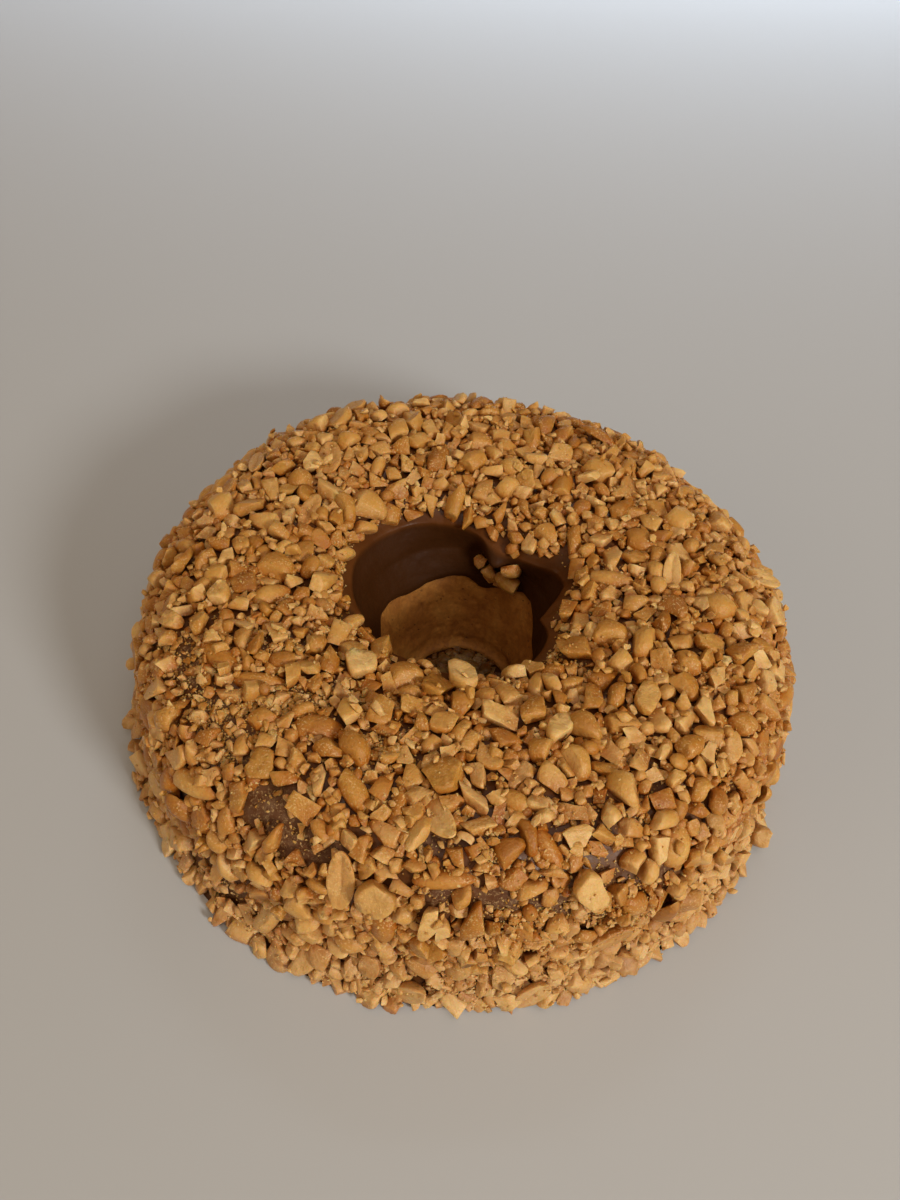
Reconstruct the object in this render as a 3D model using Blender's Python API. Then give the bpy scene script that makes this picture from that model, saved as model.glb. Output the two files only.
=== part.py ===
# Ring cake: a plain sponge baked in a ring mould and turned out, with a coat of
# chocolate spread and chopped roasted nuts over the outside, the top and the
# upper part of the hole's wall.
#
# Frame: metres, +Z up. The origin is on the flat underside, on the ring's axis.
# -Y is the front. Sizes below are in millimetres and are turned into metres
# where the vertices are made.

import math
import random

import bmesh
import bpy

MM = 0.001

# ---------------------------------------------------------------- sizes (mm)
COLUMNS = 74            # facets round the ring

HEIGHT = 56.4           # mean height of the nut coat's crest
CREST_R = 60.5          # radius of the circle along which the ring is highest
FOOT_R = 102.2          # outer radius of the coat where it meets the table
WAIST_R = 94.2          # outer radius where the flared foot ends
WAIST_Z = 18.8
FLARE_POWER = 1.5       # how fast the nuts piled at the foot thin out upwards
SHOULDER_N = 2.83       # superellipse exponent of the outer shoulder
RIM_N = 2.7             # the same, of the shoulder that turns into the hole

SPONGE_HEIGHT = 51.6
SPONGE_FOOT_R = 93.2
SPONGE_WAIST_R = 89.4

HOLE_FOOT_R = 15.0      # hole radius at the underside
HOLE_FILLET = 4.0       # the crust curls in over this height at the hole's foot
HOLE_LOW_R = 18.6       # hole radius just above that curl
HOLE_HIGH_R = 29.6      # hole radius where its straight taper ends
HOLE_HIGH_Z = 36.0
HOLE_DRIFT = -4.0       # how far the hole leans to -X at HOLE_DRIFT_Z
HOLE_DRIFT_Z = 45.0

SKIN = 2.0              # thickness of the bare chocolate on the hole's wall
LINING_R = 38.0         # the bare chocolate of the rim and the hole's wall begins inside this radius
GAP = 0.3               # clearance between the sponge and its coat

EDGE_Z = 25.0           # mean height of the chocolate's lower edge in the hole
EDGE_WAVE = 1.6
EDGE_SIDE_DROP = 13.0   # the chocolate runs lower on the +X and -X sides

BULGE = 4.0             # a thick lip of chocolate and nuts at the back right
BULGE_AT = math.radians(28)
BULGE_HALF = math.radians(42)

NUT_COUNT = 620         # raised lumps of the coat
NUT_RISE = (0.8, 2.6)   # how far a lump stands proud of the mean coat
NUT_SPREAD = (3.5, 6.5)  # half-width of a lump along the surface
SWELL = 0.7             # slow unevenness of the whole coat


# ---------------------------------------------------------------- profiles
def superellipse(r_from, z_from, r_to, z_to, power, steps):
    """Points from a vertical start at (r_from, z_from) to a level end at (r_to, z_to)."""
    found = []
    for i in range(steps + 1):
        a = 0.5 * math.pi * i / steps
        c, s = math.cos(a) ** (2 / power), math.sin(a) ** (2 / power)
        found.append((r_to + (r_from - r_to) * c, z_from + (z_to - z_from) * s))
    return found


def resample(line, count):
    """count + 1 points evenly spaced along a polyline, ends kept."""
    run = [0.0]
    for (r0, z0), (r1, z1) in zip(line, line[1:]):
        run.append(run[-1] + math.hypot(r1 - r0, z1 - z0))
    out, j = [], 0
    for i in range(count + 1):
        want = run[-1] * i / count
        while j < len(run) - 2 and run[j + 1] < want:
            j += 1
        span = max(run[j + 1] - run[j], 1e-9)
        t = min(max((want - run[j]) / span, 0.0), 1.0)
        (r0, z0), (r1, z1) = line[j], line[j + 1]
        out.append((r0 + t * (r1 - r0), z0 + t * (z1 - z0)))
    return out


def flare(r_foot, r_waist, power, steps=12):
    """The side from the table up to the waist."""
    found = []
    for i in range(steps + 1):
        t = i / steps
        found.append((r_waist + (r_foot - r_waist) * (1 - t) ** power, WAIST_Z * t))
    return found


def straight_hole_r(z):
    t = (z - HOLE_FILLET) / (HOLE_HIGH_Z - HOLE_FILLET)
    return HOLE_LOW_R + t * (HOLE_HIGH_R - HOLE_LOW_R)


def drift(z, angle):
    """The hole leans a little to one side on its way up."""
    return HOLE_DRIFT * z / HOLE_DRIFT_Z * math.cos(angle)


def in_hole(r):
    """1 on the hole's side of the ring, falling to 0 at the crest."""
    return min(max((CREST_R - r) / (CREST_R - HOLE_HIGH_R), 0.0), 1.0)


def sponge_profile():
    """From the outer foot over the crest to the top of the hole's straight taper."""
    side = flare(SPONGE_FOOT_R, SPONGE_WAIST_R, 1)
    outer = superellipse(SPONGE_WAIST_R, WAIST_Z, CREST_R, SPONGE_HEIGHT, SHOULDER_N, 60)
    inner = superellipse(HOLE_HIGH_R, HOLE_HIGH_Z, CREST_R, SPONGE_HEIGHT, RIM_N, 60)
    outside = resample(side + outer[1:], 8)
    return outside + resample(inner[::-1], 5)[1:]


def coat_profile():
    """The mean outer face of the coat, over the same stretch, more finely divided."""
    side = flare(FOOT_R, WAIST_R, FLARE_POWER)
    outer = superellipse(WAIST_R, WAIST_Z, CREST_R, HEIGHT, SHOULDER_N, 60)
    inner = superellipse(HOLE_HIGH_R - SKIN, HOLE_HIGH_Z, CREST_R, HEIGHT, RIM_N, 60)
    return resample(side + outer[1:], 17) + resample(inner[::-1], 8)[1:]


def normals_of(line):
    """Unit normals of a profile that runs from the foot over the crest into the hole."""
    found = []
    for i in range(len(line)):
        (r0, z0), (r1, z1) = line[max(i - 1, 0)], line[min(i + 1, len(line) - 1)]
        dr, dz = r1 - r0, z1 - z0
        length = math.hypot(dr, dz)
        found.append((dz / length, -dr / length))
    return found


def point(angle, r, z):
    r += drift(z, angle) * in_hole(r)
    return (r * math.cos(angle), r * math.sin(angle), z)


# ---------------------------------------------------------------- the coat's unevenness
def nut_lumps(profile):
    """Lump centres spread over the coat: a spiral by area, moved about a little."""
    rng = random.Random(41)
    rings = []
    for (r0, z0), (r1, z1) in zip(profile, profile[1:]):
        rings.append(math.hypot(r1 - r0, z1 - z0) * (r0 + r1) / 2)
    total, lumps = sum(rings), []
    turn = math.pi * (3 - math.sqrt(5))
    for i in range(NUT_COUNT):
        want, j = (i + rng.random()) / NUT_COUNT * total, 0
        while j < len(rings) - 1 and want > rings[j]:
            want -= rings[j]
            j += 1
        t = want / rings[j]
        (r0, z0), (r1, z1) = profile[j], profile[j + 1]
        r, z = r0 + t * (r1 - r0), z0 + t * (z1 - z0)
        a = i * turn + rng.uniform(-0.03, 0.03)
        lumps.append((
            r * math.cos(a), r * math.sin(a), z,
            rng.uniform(*NUT_RISE), rng.uniform(*NUT_SPREAD),
        ))
    return lumps


def rise_at(lumps, x, y, z):
    best = 0.0
    for lx, ly, lz, rise, spread in lumps:
        d2 = (x - lx) ** 2 + (y - ly) ** 2 + (z - lz) ** 2
        if d2 < 4 * spread * spread:
            best = max(best, rise * math.exp(-d2 / (spread * spread)))
    return best


def swell_at(angle, z):
    return SWELL * (
        0.6 * math.sin(2 * angle + 0.7)
        + 0.5 * math.sin(5 * angle - 1.1 + z / 14)
        + 0.4 * math.sin(9 * angle + z / 8)
    )


def bulge_at(angle, r, z):
    """How far the thick lip pushes into the hole."""
    away = abs((angle - BULGE_AT + math.pi) % (2 * math.pi) - math.pi) / BULGE_HALF
    if away >= 1:
        return 0.0
    near_rim = math.exp(-(((z - 44.0) / 7.0) ** 2)) * in_hole(r)
    return BULGE * near_rim * (0.5 + 0.5 * math.cos(math.pi * away))


def edge_height(angle):
    """Height of the chocolate's wavy lower edge on the hole's wall."""
    wave = EDGE_WAVE * (math.sin(3 * angle + 0.4) + 0.6 * math.sin(7 * angle + 1.9))
    side = max(0.0, math.cos(angle + 0.15)) ** 3
    other = max(0.0, -math.cos(angle - 0.5)) ** 4
    return EDGE_Z + wave - EDGE_SIDE_DROP * max(side, 0.55 * other)


# ---------------------------------------------------------------- meshes
def ring_object(name, loops, colour, roughness):
    """One closed body from a closed section loop at each angle round the ring."""
    bm = bmesh.new()
    grid = [[bm.verts.new((x * MM, y * MM, z * MM)) for x, y, z in loop] for loop in loops]
    columns, rows = len(grid), len(grid[0])
    for i in range(columns):
        here, there = grid[i], grid[(i + 1) % columns]
        for j in range(rows):
            k = (j + 1) % rows
            bm.faces.new((here[j], there[j], there[k], here[k]))
    bmesh.ops.recalc_face_normals(bm, faces=bm.faces)
    mesh = bpy.data.meshes.new(name)
    bm.to_mesh(mesh)
    bm.free()
    mesh.shade_smooth()
    mesh.set_sharp_from_angle(angle=math.radians(50))
    material = bpy.data.materials.new(name)
    material.use_nodes = True
    shader = material.node_tree.nodes["Principled BSDF"]
    shader.inputs["Base Color"].default_value = (*colour, 1)
    shader.inputs["Roughness"].default_value = roughness
    shader.inputs["Metallic"].default_value = 0
    mesh.materials.append(material)
    made = bpy.data.objects.new(name, mesh)
    bpy.context.scene.collection.objects.link(made)
    return made


def sponge_loops():
    top = sponge_profile()
    hole = [(straight_hole_r(z), z) for z in (24.0, 13.0, HOLE_FILLET)]
    hole += [(HOLE_LOW_R - 1.3, 1.2), (HOLE_FOOT_R, 0.0)]
    base = [(38.0, 0.0), (68.0, 0.0)]
    loops = []
    for i in range(COLUMNS):
        a = 2 * math.pi * i / COLUMNS
        loops.append([point(a, r, z) for r, z in top + hole + base])
    return loops


def cut_at(line, radius, keep_outer):
    """The part of a profile outside or inside a radius on its inner side, with a new end point there."""
    top = max(range(len(line)), key=lambda i: line[i][1])
    for i in range(top, len(line) - 1):
        (r0, z0), (r1, z1) = line[i], line[i + 1]
        if r0 >= radius > r1:
            t = (r0 - radius) / (r0 - r1)
            end = (radius, z0 + t * (z1 - z0))
            return line[:i + 1] + [end] if keep_outer else [end] + line[i + 1:]
    raise ValueError("the profile doesn't reach that radius")


def coat_point(angle, place, normal, lumps):
    """A point of the coat's uneven outer face."""
    (r, z), (nr, nz) = place, normal
    nutty = 1.0 if r > CREST_R else max(0.0, 1 - in_hole(r) ** 3)
    x, y = r * math.cos(angle), r * math.sin(angle)
    out = nutty * (rise_at(lumps, x, y, z) + swell_at(angle, z)) + bulge_at(angle, r, z)
    if z == 0.0:  # the foot stays on the table
        nr, nz = 1.0, 0.0
    return point(angle, r + nr * out, z + nz * out)


def under_side(line):
    """The sponge's face raised by the gap, from the hole outwards."""
    normals = normals_of(line)
    if line[0][1] == 0.0:
        normals[0] = (1.0, 0.0)
    if line[-1][0] == HOLE_HIGH_R:
        normals[-1] = (-1.0, 0.0)
    return [(r + nr * GAP, z + nz * GAP) for (r, z), (nr, nz) in zip(line, normals)][::-1]


def coat_loops(lumps):
    """Chocolate and nuts from the foot over the crest to the bare rim of the hole."""
    outline = cut_at(coat_profile(), LINING_R + GAP / 2, True)
    normals = normals_of(outline)
    under = under_side(cut_at(sponge_profile(), LINING_R + GAP / 2, True))
    under[0] = (LINING_R + GAP / 2, under[0][1])
    loops = []
    for i in range(COLUMNS):
        a = 2 * math.pi * i / COLUMNS
        loop = [coat_point(a, place, normal, lumps) for place, normal in zip(outline, normals)]
        loops.append(loop + [point(a, r, z) for r, z in under])
    return loops


def lining_loops(lumps):
    """Bare chocolate from the rim down the hole's wall to its wavy lower edge."""
    outline = cut_at(coat_profile(), LINING_R - GAP / 2, False)
    normals = normals_of(outline)
    under = under_side(cut_at(sponge_profile(), LINING_R - GAP / 2, False))
    under[-1] = (LINING_R - GAP / 2, under[-1][1])
    loops = []
    for i in range(COLUMNS):
        a = 2 * math.pi * i / COLUMNS
        loop = [coat_point(a, place, normal, lumps) for place, normal in zip(outline, normals)]
        low = edge_height(a)
        # Down the straight wall of the hole to the rounded lower edge.
        for t in (0.3, 0.62, 0.9):
            z = HOLE_HIGH_Z + t * (low - HOLE_HIGH_Z)
            loop.append(point(a, straight_hole_r(z) - SKIN - bulge_at(a, 30.0, z), z))
        loop.append(point(a, straight_hole_r(low) - 0.55 * SKIN, low - 0.6))
        loop.append(point(a, straight_hole_r(low) - GAP, low))
        # Back up along the sponge, the gap away from it.
        loops.append(loop + [point(a, r, z) for r, z in under])
    return loops


def centred(loop_sets):
    """Moves everything sideways so that the whole is centred on the origin."""
    xs = [p[0] for loops in loop_sets for loop in loops for p in loop]
    ys = [p[1] for loops in loop_sets for loop in loops for p in loop]
    dx, dy = (min(xs) + max(xs)) / 2, (min(ys) + max(ys)) / 2
    return [
        [[(x - dx, y - dy, z) for x, y, z in loop] for loop in loops]
        for loops in loop_sets
    ]


for old in list(bpy.data.objects):
    bpy.data.objects.remove(old)

nuts = nut_lumps(coat_profile())
sponge, coat, lining = centred([sponge_loops(), coat_loops(nuts), lining_loops(nuts)])
ring_object("sponge_ring", sponge, (0.42, 0.20, 0.055), 0.8)
ring_object("nut_coat", coat, (0.46, 0.24, 0.09), 0.6)
ring_object("hole_chocolate", lining, (0.105, 0.045, 0.02), 0.4)
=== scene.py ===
import math

import bmesh
import bpy
import numpy as np
from mathutils import Matrix, Vector
from mathutils.bvhtree import BVHTree
from mathutils.kdtree import KDTree


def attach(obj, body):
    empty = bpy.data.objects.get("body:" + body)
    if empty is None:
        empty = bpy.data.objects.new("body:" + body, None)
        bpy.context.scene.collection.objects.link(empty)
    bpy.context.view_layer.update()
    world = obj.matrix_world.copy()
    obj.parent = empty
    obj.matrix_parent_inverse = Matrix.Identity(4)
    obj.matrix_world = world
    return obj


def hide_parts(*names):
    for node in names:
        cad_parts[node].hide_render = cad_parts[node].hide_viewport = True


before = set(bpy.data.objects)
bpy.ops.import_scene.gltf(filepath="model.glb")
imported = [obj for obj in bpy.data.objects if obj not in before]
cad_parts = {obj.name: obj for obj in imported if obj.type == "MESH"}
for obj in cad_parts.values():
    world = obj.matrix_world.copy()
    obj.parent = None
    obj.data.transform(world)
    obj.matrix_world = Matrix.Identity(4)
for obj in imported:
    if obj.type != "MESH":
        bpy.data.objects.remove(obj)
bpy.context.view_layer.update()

# The looks of a ring cake: baked sponge crust in the hole, a coat of milk chocolate spread, and
# real meshes of chopped roasted peanuts pressed into it. All sizes here are in millimetres and
# are turned into metres where a mesh is made. -Y is the photograph's front.

MM = 0.001

# ------------------------------------------------------------------ the cake's form, as in the CAD
HEIGHT, CREST_R = 56.4, 60.5
FOOT_R, WAIST_R, WAIST_Z, FLARE_POWER = 102.2, 94.2, 18.8, 1.5
SHOULDER_N, RIM_N = 2.83, 2.7
SPONGE_HEIGHT, SPONGE_FOOT_R, SPONGE_WAIST_R = 51.6, 93.2, 89.4
HOLE_FOOT_R, HOLE_FILLET, HOLE_LOW_R = 15.0, 4.0, 18.6
HOLE_HIGH_R, HOLE_HIGH_Z = 29.6, 36.0
HOLE_DRIFT, HOLE_DRIFT_Z = -4.0, 45.0
SKIN = 2.0
SWELL = 0.7


def superellipse(r_from, z_from, r_to, z_to, power, steps=80):
    a = np.linspace(0, math.pi / 2, steps + 1)
    c, s = np.cos(a).clip(0) ** (2 / power), np.sin(a).clip(0) ** (2 / power)
    return np.stack([r_to + (r_from - r_to) * c, z_from + (z_to - z_from) * s], 1)


def resample(line, count):
    run = np.concatenate([[0], np.cumsum(np.linalg.norm(np.diff(line, axis=0), axis=1))])
    want = np.linspace(0, run[-1], count + 1)
    return np.stack([np.interp(want, run, line[:, 0]), np.interp(want, run, line[:, 1])], 1)


def smooth(a, b, x):
    t = np.clip((x - a) / (b - a), 0, 1)
    return t * t * (3 - 2 * t)


def straight_hole_r(z):
    return HOLE_LOW_R + (z - HOLE_FILLET) / (HOLE_HIGH_Z - HOLE_FILLET) * (HOLE_HIGH_R - HOLE_LOW_R)


def in_hole(r):
    return np.clip((CREST_R - r) / (CREST_R - HOLE_HIGH_R), 0, 1)


def outline():
    """The coat's mean outline from the foot over the crest to the top of the hole's taper."""
    t = np.linspace(0, 1, 30)
    side = np.stack([WAIST_R + (FOOT_R - WAIST_R) * (1 - t) ** FLARE_POWER, WAIST_Z * t], 1)
    outer = superellipse(WAIST_R, WAIST_Z, CREST_R, HEIGHT, SHOULDER_N)
    inner = superellipse(HOLE_HIGH_R - SKIN, HOLE_HIGH_Z, CREST_R, HEIGHT, RIM_N)
    return np.vstack([side, outer[1:], inner[::-1][1:]])


def around(table, angle):
    """A smooth closed curve through (degrees, value) points, read at angles in radians."""
    table = sorted(table)
    d = np.array([p[0] for p in table], float)
    v = np.array([p[1] for p in table], float)
    d = np.concatenate([d[-3:] - 360, d, d[:3] + 360])
    v = np.concatenate([v[-3:], v, v[:3]])
    x = np.degrees(angle) % 360
    x = np.where(x > 180, x - 360, x)
    fine = np.linspace(-200, 200, 1601)
    curve = np.interp(fine, d, v)
    kernel = np.exp(-(np.arange(-24, 25) / 9.0) ** 2)
    curve = np.convolve(np.pad(curve, 24, mode="edge"), kernel / kernel.sum(), mode="valid")
    return np.interp(x, fine, curve)


# How far the chocolate rim of the hole lies outside (+) or inside (-) a plain circle.
RIM = [(-123, -2.0), (-107, -1.9), (-71, 0.6), (-51, 1.8), (-34, 0.8), (-24, 0.0), (-11, -4.6), (-1, -2.6),
       (10, 0.6), (20, 3.4), (30, 2.2), (40, -1.6), (52, -3.9), (66, -4.3), (84, -4.1), (99, -2.0), (112, -0.6),
       (128, 1.3), (145, 2.4), (164, 3.3), (178, 1.9), (-159, -0.9), (-141, 0.5)]
# How far that relief reaches down the wall.
RIM_REACH = [(-150, 6), (-60, 5), (-25, 4.0), (-11, 3.4), (5, 5.0), (20, 9.0), (38, 8), (66, 9.5), (95, 7), (150, 6)]
# Height of the chocolate's wavy lower edge on the hole's wall.
EDGE = [(-180, 20), (-150, 17), (-120, 19), (-90, 18), (-60, 16), (-30, 17.5), (-2, 18.6), (15, 19.8), (30, 24.4),
        (40, 28), (50, 28.6), (60, 25.6), (69, 24.4), (78, 22.6), (84, 22.0), (90, 23.4), (95, 24.6), (106, 24.3),
        (123, 23.3), (131, 22.5), (145, 22.7), (158, 23.8), (168, 25.0), (174, 23.0)]


def lattice(p, seed):
    h = (p[:, 0] * 374761393 + p[:, 1] * 668265263 + p[:, 2] * 2147483647 + seed * 144269504) & 0xFFFFFFFF
    h = ((h ^ (h >> 13)) * 1274126177) & 0xFFFFFFFF
    h = h ^ (h >> 16)
    return (h & 0xFFFF) / 32767.5 - 1.0


def noise3(p, seed=0):
    """Smooth noise in -1..1 at points p, one unit to a cell."""
    base = np.floor(p).astype(np.int64)
    t = p - base
    t = t * t * (3 - 2 * t)
    out = np.zeros(len(p))
    for i in (0, 1):
        for j in (0, 1):
            for k in (0, 1):
                w = ((t[:, 0] if i else 1 - t[:, 0]) * (t[:, 1] if j else 1 - t[:, 1])
                     * (t[:, 2] if k else 1 - t[:, 2]))
                out += w * lattice(base + np.array([i, j, k]), seed)
    return out


CREASE_R, CREASE_Z, CORE_SINK = 28.4, 45.4, 3.0


class Coat:
    """The spread under the nuts as a surface: an angle and a distance along the section."""

    def __init__(self):
        full = resample(outline(), 600)
        d = np.gradient(full, axis=0)
        d /= np.linalg.norm(d, axis=1, keepdims=True)
        n = np.stack([d[:, 1], -d[:, 0]], 1)
        run = np.concatenate([[0], np.cumsum(np.linalg.norm(np.diff(full, axis=0), axis=1))])
        top = int(np.argmax(full[:, 1]))
        sink = CORE_SINK + 2.0 * smooth(14, 0, run)
        out = (full - n * sink[:, None])[:top + 1]
        out[:, 1] = np.maximum(out[:, 1], 0)
        # the top falls gently inwards to a crisp edge round the hole, and the wall drops from there
        r = np.linspace(CREST_R, CREASE_R, 60)[1:]
        fall = HEIGHT - CORE_SINK - CREASE_Z
        lid = np.stack([r, HEIGHT - CORE_SINK - fall * ((CREST_R - r) / (CREST_R - CREASE_R)) ** 3.2], 1)
        wall = np.array([[HOLE_HIGH_R - SKIN + 0.2, HOLE_HIGH_Z + 4], [HOLE_HIGH_R - SKIN, HOLE_HIGH_Z]])
        line = resample(np.vstack([out, lid, wall]), 900)
        for c in (0, 1):  # rounds the edge over about a millimetre
            k = np.exp(-(np.arange(-8, 9) / 3.6) ** 2)
            soft = np.convolve(np.pad(line[:, c], 8, mode="edge"), k / k.sum(), mode="valid")
            line[20:-20, c] = soft[20:-20]
        step = np.linalg.norm(np.diff(line, axis=0), axis=1)
        self.s = np.concatenate([[0], np.cumsum(step)])
        self.length = float(self.s[-1])
        self.line = line
        self.crease = float(self.s[np.argmin(np.hypot(line[:, 0] - CREASE_R, line[:, 1] - CREASE_Z))])
        d = np.gradient(line, axis=0)
        d /= np.linalg.norm(d, axis=1, keepdims=True)
        self.n = np.stack([d[:, 1], -d[:, 0]], 1)

    def at(self, angle, s):
        """Points (mm) on the spread."""
        r, z = np.interp(s, self.s, self.line[:, 0]), np.interp(s, self.s, self.line[:, 1])
        nr, nz = np.interp(s, self.s, self.n[:, 0]), np.interp(s, self.s, self.n[:, 1])
        inner = in_hole(r)
        nutty = np.where(r > CREST_R, 1.0, 1 - inner ** 3)
        out = nutty * SWELL * (0.6 * np.sin(2 * angle + 0.7) + 0.5 * np.sin(5 * angle - 1.1 + z / 14)
                               + 0.4 * np.sin(9 * angle + z / 8))
        floor = z < 0.5
        nr, nz = np.where(floor, 1.0, nr), np.where(floor, 0.0, nz)
        r2, z2 = r + nr * out, z + nz * out
        below = np.clip(CREASE_Z + 0.3 - z, 0, 99) * (s > self.crease - 3)
        weight = np.where(s > self.crease, 1.0, smooth(0.62, 1.0, inner)) * np.exp(-(below / around(RIM_REACH, angle)) ** 2)
        r2 = r2 + around(RIM, angle) * weight
        turn = (np.degrees(angle) + 180) % 360 - 180
        r2 = r2 - 5.4 * np.exp(-((turn - 74) / 11) ** 2 - ((z - 40.5) / 4.5) ** 2) * (s > self.crease - 3)
        # the lip at the right and the lobe at the back right sag a little
        sag = 1.6 * np.exp(-((np.degrees(angle) - 352 + 360 * (angle < 3)) / 9) ** 2) + 2.0 * np.exp(-((np.degrees(angle) - 66) / 24) ** 2)
        z2 = z2 - sag * smooth(0.86, 1.0, inner) * smooth(36, 44, z)
        r2 = r2 + HOLE_DRIFT * z2 / HOLE_DRIFT_Z * np.cos(angle) * inner
        return np.stack([r2 * np.cos(angle), r2 * np.sin(angle), np.maximum(z2, 0)], -1)


COAT = Coat()


def choc_swirls(p, scale=1.0):
    """Unevenness of the spread, in mm."""
    return scale * (0.55 * noise3(p / 7.0, 3) + 0.30 * noise3(p / 3.1, 4) + 0.12 * noise3(p / 1.4, 5))


# ------------------------------------------------------------------ meshes
def mesh_object(name, v_mm, faces, smooth_shade=True):
    me = bpy.data.meshes.new(name)
    v_mm = np.asarray(v_mm, float)
    faces = np.asarray(faces, np.int32)
    n = faces.shape[1]
    me.vertices.add(len(v_mm))
    me.vertices.foreach_set("co", (v_mm * MM).astype(np.float32).ravel())
    me.loops.add(faces.size)
    me.loops.foreach_set("vertex_index", faces.ravel())
    me.polygons.add(len(faces))
    me.polygons.foreach_set("loop_start", np.arange(0, faces.size, n, dtype=np.int32))
    me.update(calc_edges=True)
    me.validate()
    if smooth_shade:
        me.shade_smooth()
    ob = bpy.data.objects.new(name, me)
    bpy.context.scene.collection.objects.link(ob)
    return ob


def ring_faces(columns, rows):
    """Quads of a grid [column][row] that closes both ways."""
    i, j = np.meshgrid(np.arange(columns), np.arange(rows), indexing="ij")
    i2, j2 = (i + 1) % columns, (j + 1) % rows
    return np.stack([i * rows + j, i2 * rows + j, i2 * rows + j2, i * rows + j2], -1).reshape(-1, 4)


def add_tone(ob, values, name="tone"):
    att = ob.data.attributes.new(name, "FLOAT_COLOR", "POINT")
    att.data.foreach_set("color", np.asarray(values, np.float32).ravel())


# ------------------------------------------------------------------ the photograph's camera
CAM_AT = np.array([-0.99, -165.068, 238.937])
CAM_ROWS = np.array([[0.99121807, 0.11208787, 0.07016443],
                     [0.13092607, -0.75731155, -0.63979495],
                     [-0.01857692, 0.64336267, -0.76533612]])
CAM_F = 901.0


def to_pixel(p):
    q = (p - CAM_AT) @ CAM_ROWS.T
    return np.stack([450 + CAM_F * q[..., 0] / q[..., 2], 600 + CAM_F * q[..., 1] / q[..., 2]], -1)


def pixel_ray(x, y):
    d = np.array([(x - 450) / CAM_F, (y - 600) / CAM_F, 1.0]) @ CAM_ROWS
    return d / np.linalg.norm(d)


# ------------------------------------------------------------------ chocolate spread
COLUMNS, ROWS_WALL, ROWS_BACK = 400, 20, 12
angles = np.arange(COLUMNS) / COLUMNS * 2 * math.pi
OUT_S = np.concatenate([np.linspace(0, COAT.crease - 12, 76)[:-1], np.linspace(COAT.crease - 12, COAT.crease - 2.4, 18)[:-1],
                        np.linspace(COAT.crease - 2.4, COAT.crease + 2.4, 20)[:-1], np.linspace(COAT.crease + 2.4, COAT.length, 12)])
ROWS_OUT = len(OUT_S)


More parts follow.
